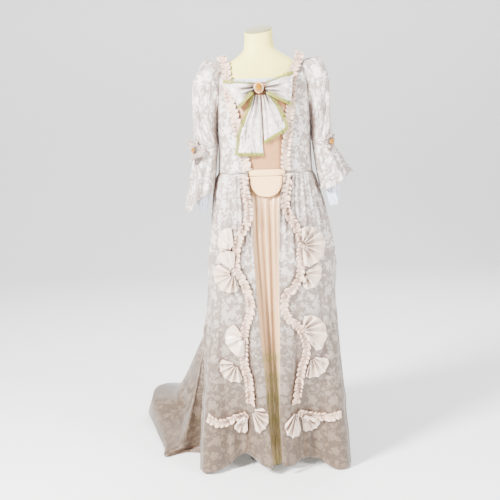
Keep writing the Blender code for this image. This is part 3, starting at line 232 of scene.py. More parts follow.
HEMS = {
    -1: Table("share rise", (
        (0.0, 0.024), (0.1, 0.032), (0.2, 0.052), (0.3, 0.042), (0.4, 0.013), (0.5, 0.004),
        (0.6, 0.0), (1.0, 0.0),
    )),
    1: Table("share rise", (
        (0.0, 0.034), (0.1, 0.029), (0.2, 0.032), (0.3, 0.028), (0.36, 0.027),
        (0.43, 0.002), (0.5, 0.0), (1.0, 0.0),
    )),
}
HEM_BLEND = 0.42
HEM_FOLD = 0.3
PETTICOAT_HEM = 0.024
PETTICOAT_TOP_Z = 1.0385
PETTICOAT_DROP = 0.022
SACK_BULGE = 0.060
SACK_PLEATS = 5.0
SACK_FLARE = 0.476


@dataclass(frozen=True)
class Fold:
    """A soft fold that runs down the skirt and deepens to the hem."""

    share: float
    half: float
    push: float
    top: float


# Folds of the petticoat between the skirt fronts: share across, half width, push back
PETTICOAT_FOLDS = (
    (0.10, 0.07, 0.0060),
    (0.24, 0.08, -0.0110),
    (0.40, 0.05, 0.0080),
    (0.53, 0.08, -0.0120),
    (0.69, 0.05, 0.0090),
    (0.84, 0.07, -0.0090),
)
FOLDS = {
    -1: (
        Fold(0.0, 0.12, 0.022, 0.95), Fold(0.26, 0.12, -0.062, 0.55),
        Fold(0.5, 0.09, 0.044, 0.8), Fold(0.66, 0.05, -0.02, 0.85),
        Fold(0.8, 0.06, 0.014, 0.9), Fold(0.13, 0.03, -0.012, 0.95),
        Fold(0.385, 0.026, -0.014, 0.95), Fold(0.58, 0.022, 0.012, 0.98),
        Fold(0.73, 0.022, 0.012, 0.98), Fold(0.9, 0.025, -0.012, 0.98),
    ),
    1: (
        Fold(0.02, 0.1, 0.022, 0.95), Fold(0.27, 0.13, -0.062, 0.55),
        Fold(0.53, 0.1, 0.038, 0.8), Fold(0.45, 0.05, 0.014, 0.6),
        Fold(0.7, 0.05, -0.018, 0.85), Fold(0.84, 0.05, 0.012, 0.9),
        Fold(0.16, 0.028, -0.012, 0.95), Fold(0.40, 0.026, -0.014, 0.95),
        Fold(0.62, 0.022, 0.012, 0.98), Fold(0.77, 0.022, -0.011, 0.98),
        Fold(0.92, 0.025, 0.010, 0.98),
    ),
}
MAIN_FOLDS = {-1: 5, 1: 6}


@dataclass(frozen=True)
class Crease:
    """A soft ridge or trough across a piece, from one place to another.

    Places are shares of the piece, across then down.
    """

    start: tuple
    end: tuple
    width: float
    push: float


SKIRT_CREASES = (
    Crease((0.10, 0.30), (0.42, 0.50), 0.024, 0.0055),
    Crease((0.22, 0.62), (0.60, 0.52), 0.022, -0.0050),
    Crease((0.55, 0.20), (0.80, 0.42), 0.024, 0.0050),
    Crease((0.30, 0.76), (0.66, 0.80), 0.020, 0.0045),
    Crease((0.70, 0.60), (0.95, 0.74), 0.024, -0.0045),
    Crease((0.05, 0.86), (0.34, 0.80), 0.020, 0.0040),
    Crease((0.62, 0.90), (0.92, 0.85), 0.020, 0.0040),
    Crease((0.48, 0.02), (0.52, 0.34), 0.014, -0.0070),
    Crease((0.30, 0.02), (0.26, 0.26), 0.013, 0.0065),
    Crease((0.66, 0.02), (0.72, 0.30), 0.014, 0.0065),
)
BODICE_CREASES = (
    Crease((0.10, 0.10), (0.90, 0.28), 0.040, 0.0030),
    Crease((0.30, 0.40), (0.98, 0.18), 0.036, -0.0026),
    Crease((0.15, 0.52), (0.85, 0.62), 0.040, 0.0026),
    Crease((0.45, 0.80), (0.95, 0.60), 0.040, 0.0028),
    Crease((0.20, 0.06), (0.34, 0.44), 0.036, -0.0024),
    Crease((0.62, 0.66), (0.40, 0.94), 0.036, 0.0026),
)
STOMACHER_CREASES = (
    Crease((0.2, 0.15), (0.8, 0.22), 0.05, 0.0012),
    Crease((0.3, 0.42), (0.75, 0.36), 0.05, -0.001),
)
SLEEVE_CREASES = (
    Crease((0.66, 0.08), (0.76, 0.66), 0.030, 0.0085),
    Crease((0.73, 0.05), (0.83, 0.74), 0.026, -0.0100),
    Crease((0.82, 0.06), (0.93, 0.62), 0.032, 0.0090),
    Crease((0.59, 0.10), (0.66, 0.86), 0.030, -0.0080),
    Crease((0.73, 0.56), (0.62, 0.97), 0.030, 0.0080),
    Crease((0.86, 0.60), (0.74, 0.98), 0.028, -0.0085),
    Crease((0.96, 0.50), (0.86, 0.95), 0.030, 0.0080),
    Crease((0.98, 0.12), (0.99, 0.70), 0.024, -0.0060),
    Crease((0.20, 0.10), (0.32, 0.60), 0.032, 0.0080),
    Crease((0.12, 0.20), (0.06, 0.80), 0.028, -0.0080),
    Crease((0.36, 0.40), (0.28, 0.94), 0.028, 0.0075),
)
TRAIN_CREASES = (
    Crease((0.085, 0.60), (0.050, 0.98), 0.014, 0.013),
    Crease((0.120, 0.58), (0.095, 0.98), 0.014, -0.010),
    Crease((0.150, 0.60), (0.150, 0.97), 0.014, 0.016),
    Crease((0.180, 0.66), (0.190, 0.90), 0.012, -0.010),
    Crease((0.150, 0.925), (0.255, 0.945), 0.020, -0.010),
    Crease((0.150, 0.958), (0.260, 0.972), 0.018, 0.007),
    Crease((0.25, 0.66), (0.30, 0.99), 0.024, 0.012),
    Crease((0.38, 0.62), (0.36, 0.99), 0.026, -0.010),
    Crease((0.50, 0.70), (0.53, 0.99), 0.026, 0.012),
    Crease((0.64, 0.66), (0.68, 0.99), 0.024, 0.012),
    Crease((0.80, 0.62), (0.84, 0.98), 0.022, 0.010),
)

SLEEVES = {
    -1: Table("row outer_x outer_z inner_x inner_z depth y", (
        (0, 0.169, 1.418, 0.166, 1.196, 0.058, 0.0),
        (1, 0.188, 1.418, 0.166, 1.186, 0.061, -0.002),
        (2, 0.212, 1.398, 0.166, 1.178, 0.062, -0.004),
        (3, 0.232, 1.35, 0.1655, 1.171, 0.061, -0.006),
        (4, 0.24, 1.28, 0.165, 1.163, 0.057, -0.008),
        (5, 0.24, 1.21, 0.1645, 1.152, 0.053, -0.012),
        (6, 0.238, ELBOW_Z + 0.001, 0.1645, ELBOW_Z + 0.001, 0.049, -0.018),
    )),
    1: Table("row outer_x outer_z inner_x inner_z depth y", (
        (0, 0.169, 1.42, 0.166, 1.196, 0.058, 0.0),
        (1, 0.188, 1.419, 0.166, 1.186, 0.061, -0.002),
        (2, 0.206, 1.402, 0.166, 1.178, 0.062, -0.004),
        (3, 0.219, 1.356, 0.1655, 1.171, 0.061, -0.006),
        (4, 0.224, 1.29, 0.1655, 1.163, 0.057, -0.008),
        (5, 0.225, 1.215, 0.166, 1.152, 0.053, -0.012),
        (6, 0.231, ELBOW_Z + 0.001, 0.168, ELBOW_Z + 0.001, 0.049, -0.018),
    )),
}


@dataclass(frozen=True)
class Frill:
    """Lower edge of a flared tube below the elbow."""

    centre_x: float
    half_width: float
    centre_y: float
    half_depth: float
    drops: tuple
    waves: int
    ripple: float
    side: float


FLOUNCES = {
    -1: Frill(-0.226, 0.048, -0.03, 0.074,
          ((0, 0.922), (50, 0.938), (90, 0.96), (140, 0.985), (180, 0.988), (230, 0.975),
           (270, 0.955), (305, 0.922), (340, 0.918), (360, 0.922)),
          5, 0.006, 1.0),
    1: Frill(0.239, 0.051, -0.03, 0.078,
          ((0, 1.032), (50, 1.008), (90, 0.985), (140, 0.984), (180, 0.985),
           (230, 0.98), (270, 0.998), (310, 1.022), (360, 1.032)),
          5, 0.007, 1.0),
}
LACES = {
    -1: Frill(-0.215, 0.02, -0.032, 0.052,
          ((0, 0.938), (60, 0.948), (130, 0.955), (180, 0.938), (225, 0.918),
           (250, 0.912), (290, 0.925), (360, 0.938)),
          5, 0.003, -1.0),
    1: Frill(0.229, 0.023, -0.032, 0.056,
          ((0, 0.945), (60, 0.955), (130, 0.955), (180, 0.935),
           (230, 0.925), (290, 0.928), (360, 0.945)),
          5, 0.003, -1.0),
}

SERPENTINES = {
    -1: ((-0.0717, 1.0365), (-0.0715, 1.0), (-0.062, 0.95), (-0.058, 0.915), (-0.066, 0.88),
         (-0.086, 0.847), (-0.104, 0.805), (-0.107, 0.76), (-0.106, 0.725), (-0.093, 0.705),
         (-0.0795, 0.674), (-0.0665, 0.635), (-0.063, 0.605), (-0.07, 0.57),
         (-0.083, 0.536), (-0.088, 0.495), (-0.092, 0.44), (-0.088, 0.4), (-0.078, 0.364),
         (-0.075, 0.318), (-0.0752, 0.274)),
    1: ((0.068, 1.0365), (0.07, 1.01), (0.065, 0.976), (0.06, 0.94), (0.0669, 0.91),
        (0.0849, 0.88), (0.101, 0.848), (0.111, 0.81), (0.107, 0.772), (0.105, 0.73),
        (0.1, 0.695), (0.079, 0.661), (0.056, 0.643), (0.049, 0.61), (0.052, 0.58),
        (0.069, 0.555), (0.094, 0.532), (0.109, 0.505), (0.117, 0.46), (0.116, 0.435),
        (0.105, 0.408), (0.0958, 0.372), (0.089, 0.33), (0.0826, 0.303), (0.0785, 0.272)),
}
HEM_FRILLS = {
    -1: ((-0.0849, 0.2353), (-0.1028, 0.2252), (-0.1329, 0.2157), (-0.1577, 0.2071),
         (-0.1869, 0.2101), (-0.208, 0.223), (-0.22, 0.23)),
    1: ((0.0852, 0.24), (0.1109, 0.2247), (0.1455, 0.2173), (0.1843, 0.2184),
        (0.214, 0.2233), (0.23, 0.2247)),
}
ROBING_PUFFS = {
    -1: ((-0.1220, 1.396), (-0.1300, 1.416), (-0.1370, 1.431)),
    1: ((0.1140, 1.398), (0.1220, 1.420), (0.1290, 1.437)),
}


@dataclass(frozen=True)
class FanSize:
    """One fan-pleated piece held at a point of the serpentine."""

    name: str
    x: float
    z: float
    inner: float
    outer: float
    tip: float
    start: float
    end: float
    pleats: int
    height: float


FANS = (
    FanSize("fan_left_top", -0.1107, 0.7941, 0.012, 0.084, 0.052, 96.0, 192.0, 2, 0.011),
    FanSize("fan_left_middle", -0.1166, 0.7147, 0.012, 0.072, 0.066, 150.0, 292.0, 6, 0.011),
    FanSize("fan_left_upper", -0.114, 0.7224, 0.014, 0.068, 0.082, 84.0, 148.0, 2, 0.01),
    FanSize("fan_left_lower", -0.0853, 0.505, 0.012, 0.062, 0.076, 130.0, 266.0, 3, 0.013),
    FanSize("fan_left_bell", -0.1159, 0.4117, 0.012, 0.062, 0.068, 166.0, 288.0, 5, 0.011),
    FanSize("fan_left_panel", -0.086, 0.242, 0.016, 0.082, 0.078, 226.0, 268.0, 3, 0.006),
    FanSize("fan_left_hem", -0.072, 0.256, 0.012, 0.084, 0.048, 280.0, 380.0, 5, 0.012),
    FanSize("fan_right_upper", 0.1125, 0.7101, 0.012, 0.054, 0.072, -92.0, 28.0, 4, 0.011),
    FanSize("fan_right_top", 0.1114, 0.8041, 0.012, 0.084, 0.07, -87.0, 90.0, 7, 0.013),
    FanSize("fan_right_bell", 0.1341, 0.4291, 0.012, 0.078, 0.068, -110.0, -14.0, 4, 0.011),
    FanSize("fan_right_lower", 0.1022, 0.5217, 0.012, 0.106, 0.056, -58.0, 78.0, 5, 0.013),
    FanSize("fan_right_panel", 0.0941, 0.233, 0.014, 0.076, 0.08, 276.0, 334.0, 4, 0.006),
    FanSize("fan_right_hem", 0.08, 0.25, 0.012, 0.07, 0.096, 222.0, 280.0, 4, 0.012),
)

LOOPS = {
    "left": ((-0.036, 1.3), (-0.036, 1.328), (-0.08, 1.256), (-0.127, 1.34)),
    "right": ((0.012, 1.298), (0.012, 1.33), (0.086, 1.26), (0.096, 1.362)),
}
TAILS = {
    "left": Table("row left_x left_z right_x right_z", (
        (0, -0.0330, 1.2930, -0.0110, 1.2930), (1, -0.0500, 1.2450, -0.0085, 1.2450),
        (2, -0.0740, 1.1930, -0.0070, 1.1900), (3, -0.0860, 1.1450, -0.0075, 1.1400),
        (4, -0.0930, 1.1060, -0.0060, 1.1030),
    )),
    "right": Table("row left_x left_z right_x right_z", (
        (0, -0.0060, 1.2930, 0.0160, 1.2930), (1, -0.0050, 1.2500, 0.0400, 1.2620),
        (2, -0.0035, 1.2000, 0.0600, 1.2240), (3, -0.0020, 1.1420, 0.0740, 1.1850),
    )),
}
LOOP_PUFF = 0.011
# How far around a place the ground under a loop is felt
LOOP_FEELERS = ((0, 0), (0.012, 0), (-0.012, 0), (0, 0.012), (0, -0.012))
KNOT = (-0.0150, 1.3165)
SHOULDER_REACH = (0.021, 0.018)
FLOUNCE_DRAW = 0.008
SLEEVE_SNUG = {-1: 0.0078, 1: 0.0092}
# Pleated bows at the elbows: half width, half height, turn, lift of the ears
ELBOW_BOWS = {-1: (0.047, 0.040, 2.2, 0.024), 1: (0.028, 0.027, 1.2, 0.010)}
# Outline of a stone from its foot up: share of its half width, share of its height
STONE_STEPS = ((0.90, 0.0), (1.0, 0.18), (0.96, 0.42), (0.74, 0.78), (0.42, 1.0))
STONE_CORNERS = 20


def linear(hex_colour: str) -> Triple:
    """Return a colour written as six hex digits in linear light."""
    parts = [int(hex_colour[i:i + 2], 16) / 255.0 for i in (0, 2, 4)]
    return tuple(c / 12.92 if c <= 0.04045 else ((c + 0.055) / 1.055) ** 2.4 for c in parts)


class Graph:
    """Small helper that wires up the nodes of one material."""

    def __init__(self, name: str) -> None:
        """Start a material with an empty node tree and a Principled shader."""
        self.material = bpy.data.materials.new(name)
        self.material.use_nodes = True
        self.tree = self.material.node_tree
        self.tree.nodes.clear()
        self.output = self.node("OutputMaterial", {})
        self.shader = self.node("BsdfPrincipled", {})
        self.tree.links.new(self.shader.outputs["BSDF"], self.output.inputs["Surface"])

    def link(self, source: Feed, target: Socket) -> None:
        """Join a value or socket to an input socket.

        Args:
            source: a socket, or a value that is set instead.
            target: the input.
        """
        if hasattr(source, "is_output"):
            self.tree.links.new(source, target)
        else:
            target.default_value = source

    def node(self, kind: str, feeds: dict, **settings: str) -> bpy.types.Node:
        """Add a node, set its options and feed its inputs.

        Args:
            kind: type of the node, without its leading ShaderNode.
            feeds: value or socket of each input, by its name or number.
            settings: options of the node.

        Returns:
            The node.
        """
        node = self.tree.nodes.new("ShaderNode" + kind)
        for name, value in settings.items():
            setattr(node, name, value)
        for key, value in feeds.items():
            self.link(value, node.inputs[key])
        return node

    def math(self, operation: str, *feeds: Feed) -> Socket:
        """Return the output of a math node."""
        return self.node("Math", dict(enumerate(feeds)), operation=operation).outputs[0]

    def plus(self, first: Feed, second: Feed) -> Socket:
        """Return a sum."""
        return self.math("ADD", first, second)

    def minus(self, first: Feed, second: Feed) -> Socket:
        """Return a difference."""
        return self.math("SUBTRACT", first, second)

    def times(self, first: Feed, second: Feed) -> Socket:
        """Return a product."""
        return self.math("MULTIPLY", first, second)

    def scaled(self, value: Feed, scale: Feed, shift: Feed) -> Socket:
        """Return a value times a scale, plus a shift."""
        return self.math("MULTIPLY_ADD", value, scale, shift)

    def rest(self, value: Feed) -> Socket:
        """Return what a value leaves of 1."""
        return self.math("SUBTRACT", 1.0, value)

    def absolute(self, value: Feed) -> Socket:
        """Return a value without its sign."""
        return self.math("ABSOLUTE", value)

    def highest(self, first: Feed, second: Feed) -> Socket:
        """Return the larger of two values."""
        return self.math("MAXIMUM", first, second)

    def vector(self, operation: str, first: Feed, second: Feed) -> Socket:
        """Return the vector output of a vector math node."""
        return self.node("VectorMath", {0: first, 1: second}, operation=operation).outputs["Vector"]

    def separate(self, source: Socket) -> tuple[Socket, Socket, Socket]:
        """Return the x, y and z sockets of a vector."""
        return tuple(self.node("SeparateXYZ", {0: source}).outputs)

    def combine(self, x: Feed, y: Feed) -> Socket:
        """Return a flat vector made from two values."""
        return self.node("CombineXYZ", {0: x, 1: y}).outputs[0]

    def uv(self) -> Socket:
        """Return the cloth's own coordinates, in metres."""
        return self.node("UVMap", {}, uv_map="cut").outputs["UV"]

    def place(self) -> Socket:
        """Return the object's coordinates, in metres."""
        return self.node("TexCoord", {}).outputs["Object"]

    def noise(self, vector: Socket, scale: float, detail: float) -> Socket:
        """Return the value of a noise texture."""
        return self.node("TexNoise", {"Vector": vector, "Scale": scale, "Detail": detail}).outputs["Fac"]

    def cells(self, vector: Socket, cell: float, uneven: float, **settings: str) -> bpy.types.Node:
        """Return a node of flat cells of a size in metres, moved from an even grid."""
        feeds = {"Vector": vector, "Scale": 1.0 / cell, "Randomness": uneven}
        return self.node("TexVoronoi", feeds, voronoi_dimensions="2D", **settings)

    def smooth(self, value: Feed, low: float, high: float) -> Socket:
        """Return a smooth step of a value from low to high."""
        feeds = {"Value": value, "From Min": low, "From Max": high}
        return self.node("MapRange", feeds, interpolation_type="SMOOTHSTEP").outputs["Result"]

    def mix(self, share: Feed, first: Feed, second: Feed) -> Socket:
        """Return a mix of two colours, with a share of the second."""
        ends = [(*end, 1.0) if isinstance(end, tuple) else end for end in (first, second)]
        return self.node("Mix", {0: share, 6: ends[0], 7: ends[1]}, data_type="RGBA").outputs[2]

    def bump(self, height: Socket, strength: float, distance: float) -> None:
        """Feed a height into the shader's normal."""
        node = self.node("Bump", {"Height": height, "Strength": strength, "Distance": distance})
        self.set("Normal", node.outputs["Normal"])

    def wrapped(self) -> Socket:
        """Return flat coordinates laid on a piece from the front, the side or above.

        Returns:
            Coordinates in metres, seen from where the surface faces.
        """
        x, y, z = self.separate(self.place())
        facing = self.node("NewGeometry", {}).outputs["Normal"]
        out_x, out_y, out_z = [self.absolute(part) for part in self.separate(facing)]
        aside = self.math("GREATER_THAN", out_x, self.highest(out_y, out_z))
        above = self.math("GREATER_THAN", out_z, self.highest(out_x, out_y))
        u = self.scaled(aside, self.minus(y, x), x)
        v = self.scaled(above, self.minus(y, z), z)
        return self.combine(u, v)

    def painted_shade_mask(self, reach: float, low: float = 0.35, high: float = 0.95) -> Socket:
        """Return a mask of painted shade: how deep a place lies in a crease, looking around it for a reach.
        """
        node = self.node("AmbientOcclusion", {"Distance": reach}, samples=6)
        return self.rest(self.smooth(node.outputs["AO"], low, high))

    def set(self, name: str, value: Feed) -> None:
        """Set or feed one input of the shader."""
        self.link(value, self.shader.inputs[name])


FULL_TURN = 6.28


@dataclass(frozen=True)
class Blossoms:
    """A layer of scattered blossoms; sizes in metres."""

    cell: float
    radius: float
    petals: float
    offset: float

    def masks(self, graph: Graph, uv: Socket) -> tuple[Socket, Socket]:
        """Wire up the masks of the layer.

        Args:
            graph: material being wired.
            uv: cloth coordinates.

        Returns:
            (mask of the blossoms, mask of the rings at their hearts).
        """
        moved = graph.vector("ADD", uv, (self.offset, self.offset * 0.6, 0.0))
        node = graph.cells(moved, self.cell, 0.75)
        x, y, _ = graph.separate(graph.vector("SUBTRACT", moved, node.outputs["Position"]))
        turn, size, _ = graph.separate(node.outputs["Color"])
        angle = graph.math("ARCTAN2", y, x)
        distance = graph.math("SQRT", graph.plus(graph.times(x, x), graph.times(y, y)))
        phase = graph.plus(graph.times(angle, self.petals / 2.0), graph.times(turn, FULL_TURN))
        wave = graph.absolute(graph.math("COSINE", phase))
        reach = graph.times(graph.scaled(wave, 0.42, 0.60),
                            graph.scaled(size, self.radius * 0.5, self.radius * 0.62))
        ratio = graph.math("DIVIDE", distance, reach)
        petal = graph.rest(graph.smooth(ratio, 0.86, 1.0))
        ring = graph.times(graph.smooth(ratio, 0.40, 0.47), graph.rest(graph.smooth(ratio, 0.52, 0.60)))
        return petal, ring


@dataclass(frozen=True)
class Leaves:
    """A layer of scattered pointed leaves; sizes in metres."""

    cell: float
    length: float
    width: float
    offset: float

    def mask(self, graph: Graph, uv: Socket) -> Socket:
        """Wire up the mask of the layer.

        Args:
            graph: material being wired.
            uv: cloth coordinates.

        Returns:
            Mask of the leaves, with a vein along each.
        """
        moved = graph.vector("ADD", uv, (self.offset, -self.offset, 0.0))
        node = graph.cells(moved, self.cell, 0.9)
        x, y, _ = graph.separate(graph.vector("SUBTRACT", moved, node.outputs["Position"]))
        turn = graph.times(graph.separate(node.outputs["Color"])[0], FULL_TURN)
        cosine = graph.math("COSINE", turn)
        sine = graph.math("SINE", turn)
        along = graph.plus(graph.times(x, cosine), graph.times(y, sine))
        across = graph.absolute(graph.minus(graph.times(y, cosine), graph.times(x, sine)))
        share = graph.math("DIVIDE", graph.absolute(along), self.length)
        room = graph.times(graph.rest(graph.math("POWER", share, 1.6)), self.width)
        blade = graph.smooth(graph.minus(room, across), 0.0, 0.0010)
        vein = graph.rest(graph.smooth(across, 0.0004, 0.0011))
        return graph.minus(blade, graph.times(graph.times(blade, vein), 0.6))


@dataclass(frozen=True)
class Damask:
    """A floral damask: pale flowers and leaves on a satin ground, with painted shade in its creases.

    The low colours are those near the floor. The wide train is wrapped, so that its
    pattern is laid on by the way that the cloth faces.
    """

    name: str
    light: str
    ground: str
    low_light: str
    low_ground: str
    sheen: float = 0.25
    scale: float = 1.0
    wrap: bool = False

    def motif(self, graph: Graph, uv: Socket) -> Socket:
        """Wire up the mask of all flowers, leaves and vines.

        Args:
            graph: material being wired.
            uv: cloth coordinates.

        Returns:
            The mask.
        """
        scale = self.scale
        bend = graph.noise(uv, 9.0 / scale, 2.0)
        shift = graph.combine(graph.scaled(bend, 0.020, -0.010), graph.scaled(bend, -0.016, 0.008))
        moved = graph.vector("ADD", uv, shift)
        big, heart = Blossoms(0.062 * scale, 0.019 * scale, 5.0, 0.0).masks(graph, moved)
        small, eye = Blossoms(0.041 * scale, 0.0095 * scale, 6.0, 0.37).masks(graph, moved)
        leaves = Leaves(0.030 * scale, 0.0125 * scale, 0.0044 * scale, 0.11).mask(graph, moved)
        twigs = Leaves(0.022 * scale, 0.0090 * scale, 0.0026 * scale, 0.53).mask(graph, moved)
        line = graph.absolute(graph.minus(graph.noise(uv, 19.0 / scale, 1.0), 0.5))
        vine = graph.rest(graph.smooth(line, 0.006, 0.013))
        flowers = graph.highest(graph.minus(big, graph.times(heart, 0.8)),
                                graph.minus(small, graph.times(eye, 0.8)))
        greens = graph.highest(graph.highest(leaves, twigs), graph.times(vine, 0.8))
        return graph.highest(graph.math("MINIMUM", graph.highest(flowers, greens), 1.0), 0.0)

    def build(self) -> bpy.types.Material:
        """Wire up the damask.

        Returns:
            The material.
        """
        graph = Graph(self.name)
        uv = graph.wrapped() if self.wrap else graph.uv()
        motif = self.motif(graph, uv)
        upper = graph.smooth(graph.separate(graph.place())[2], 0.05, 1.12)
        base = graph.mix(upper, linear(self.low_ground), linear(self.ground))
        pale = graph.mix(upper, linear(self.low_light), linear(self.light))
        shade = graph.scaled(graph.noise(uv, 4.0, 2.0), 0.30, -0.15)
        strength = graph.scaled(upper, 0.22, 0.50)
        share = graph.plus(graph.times(motif, strength), graph.plus(shade, 0.05))
        cloth = graph.mix(share, base, pale)
        # Painted shade: the creases are darkened towards a brown.
        deep = graph.times(graph.painted_shade_mask(0.026), 0.80)
        graph.set("Base Color", graph.mix(deep, cloth, linear("6E5343")))
        graph.set("Roughness", graph.scaled(motif, 0.12, 0.44))
        graph.set("Specular IOR Level", 0.55)
        graph.set("Sheen Weight", self.sheen)
        graph.set("Sheen Roughness", 0.45)
        weave = graph.noise(uv, 1500.0, 1.0)
        graph.bump(graph.plus(graph.times(motif, 0.5), graph.times(weave, 0.25)), 0.25, 0.0006)
        return graph.material


@dataclass(frozen=True)
class Satin:
    """A plain satin whose threads streak softly along the cloth.

    The shadow is the colour of its darker threads, the painted crease shade that of the shade
    painted deep in its creases, and the streak the number of threads in a metre across the cloth.
    """

    name: str
    colour: str
    shadow: str
    rough: float = 0.36
    streak: float = 60.0
    painted_crease_shade: str = "9C6B4E"

    def build(self) -> bpy.types.Material:
        """Wire up the satin.

        Returns:
            The material.
        """
        graph = Graph(self.name)
        uv = graph.uv()
        x, y, _ = graph.separate(uv)
        threads = graph.noise(graph.combine(graph.times(x, self.streak), graph.times(y, 4.0)), 1.0, 3.0)
        blotch = graph.noise(uv, 12.0, 2.0)
        share = graph.plus(graph.times(threads, 0.30), graph.times(blotch, 0.30))
        cloth = graph.mix(share, linear(self.colour), linear(self.shadow))
        # Painted shade: the creases are darkened towards the painted crease shade colour.
        deep = graph.times(graph.painted_shade_mask(0.015, 0.40, 1.0), 0.95)
        graph.set("Base Color", graph.mix(deep, cloth, linear(self.painted_crease_shade)))
        graph.set("Roughness", self.rough)
        graph.set("Specular IOR Level", 0.55)
        graph.set("Sheen Weight", 0.3)
        graph.set("Sheen Roughness", 0.4)
        graph.bump(graph.noise(uv, 900.0, 1.0), 0.12, 0.0004)
        return graph.material


@dataclass(frozen=True)
class PetticoatSatin:
    """The peach satin of the petticoat, with tiers of metallic lace near its hem."""

    name: str
    colour: str = "E9C092"
    shadow: str = "B98454"
    painted_crease_shade: str = "80572F"
    low: str = "B7AE7E"
    lace: str = "A89C62"
    tier: float = 0.074
    lace_top: float = 0.40

    def build(self) -> bpy.types.Material:
        """Wire up the satin and its lace.

        Returns:
            The material.
        """
        graph = Graph(self.name)
        uv = graph.uv()
        x, y, _ = graph.separate(uv)
        height = graph.separate(graph.place())[2]
        threads = graph.noise(graph.combine(graph.times(x, 90.0), graph.times(y, 3.0)), 1.0, 3.0)
        base = graph.mix(graph.times(threads, 0.5), linear(self.colour), linear(self.shadow))
        # Painted shade: the creases are darkened towards the painted crease shade colour.
        base = graph.mix(graph.times(graph.painted_shade_mask(0.018, 0.4, 0.95), 0.55), base, linear(self.painted_crease_shade))
        scallop = graph.times(graph.absolute(graph.math("SINE", graph.times(x, 90.0))), 0.012)
        level = graph.minus(height, scallop)
        tiers = graph.math("FRACT", graph.math("DIVIDE", level, self.tier))
        band = graph.times(graph.rest(graph.smooth(tiers, 0.42, 0.50)),
                           graph.rest(graph.smooth(level, self.lace_top - 0.005, self.lace_top + 0.005)))
        curls = graph.absolute(graph.minus(graph.noise(uv, 60.0, 2.0), 0.5))
        gold = graph.rest(graph.smooth(curls, 0.03, 0.07))
        lace = graph.times(band, graph.scaled(gold, 0.55, 0.25))
        low = graph.rest(graph.smooth(height, 0.26, 0.48))
        tint = graph.mix(graph.times(low, 0.62), base, linear(self.low))
        graph.set("Base Color", graph.mix(lace, tint, linear(self.lace)))
        graph.set("Roughness", graph.scaled(lace, -0.12, 0.38))
        graph.set("Metallic", graph.times(lace, 0.35))
        graph.set("Specular IOR Level", 0.6)
        graph.set("Sheen Weight", 0.2)
        graph.bump(graph.plus(graph.times(lace, 0.6), graph.times(threads, 0.2)), 0.35, 0.0012)
        return graph.material


@dataclass(frozen=True)
class LaceCloth:
    """A fine white lace with small holes and denser flowers."""

    name: str
    colour: str
    hole: float = 0.0042

    def build(self) -> bpy.types.Material:
        """Wire up the lace.

        Returns:
            The material.
        """
        graph = Graph(self.name)
        uv = graph.uv()
        node = graph.cells(uv, self.hole, 0.25, feature="DISTANCE_TO_EDGE")
        net = graph.rest(graph.smooth(node.outputs["Distance"], 0.10, 0.20))
        flower, heart = Blossoms(0.024, 0.010, 6.0, 0.0).masks(graph, uv)
        dense = graph.plus(net, graph.minus(flower, graph.times(heart, 0.7)))
        solid = graph.math("MINIMUM", dense, 1.0)
        graph.set("Base Color", (*linear(self.colour), 1.0))
        graph.set("Roughness", 0.75)
        graph.set("Alpha", graph.scaled(solid, 0.70, 0.28))
        graph.set("Sheen Weight", 0.2)
        graph.bump(solid, 0.3, 0.0008)
        return graph.material


@dataclass(frozen=True)
class Plain:
    """A plain finish with a faint unevenness in its roughness.

    A painted glow colour makes a clear stone seem lit from within, and a lift makes it shine a little by
    itself.
    """

    name: str
    colour: str
    rough: float
    metallic: float = 0.0
    coat: float = 0.0
    glow: Optional[str] = None
    lift: float = 0.0

    def build(self) -> bpy.types.Material:
        """Wire up the finish.

        Returns:
            The material.
        """
        graph = Graph(self.name)
        graph.set("Base Color", (*linear(self.colour), 1.0))
        grain = graph.noise(graph.place(), 60.0, 2.0)
        graph.set("Roughness", graph.scaled(grain, 0.10, self.rough - 0.05))
        graph.set("Metallic", self.metallic)
        graph.set("Coat Weight", self.coat)
        if self.lift > 0.0:
            graph.set("Emission Color", (1.0, 1.0, 1.0, 1.0))
            graph.set("Emission Strength", self.lift)
        if self.glow is not None:
            graph.set("Transmission Weight", 0.55)
            graph.set("IOR", 1.5)
            # Painted glow: the stone gives off a little light of its own colour.
            graph.set("Emission Color", (*linear(self.glow), 1.0))
            graph.set("Emission Strength", 0.12)
        return graph.material


class Finish(Enum):
    """The finishes of the pieces."""

    FORM = "form"
    CAP = "cap"
    STEEL = "steel"
    DAMASK = "damask"
    TRAIN = "damask train"
    SATIN = "satin"
    PETTICOAT = "satin petticoat"
    PEACH = "peach"
    EARS = "peach damask"
    FAN = "peach fan"
    CREAM = "cream"
    BOW = "bow"
    LIME = "lime"
    LACE = "lace"
    GOLD = "gold"
    AMBER = "amber"


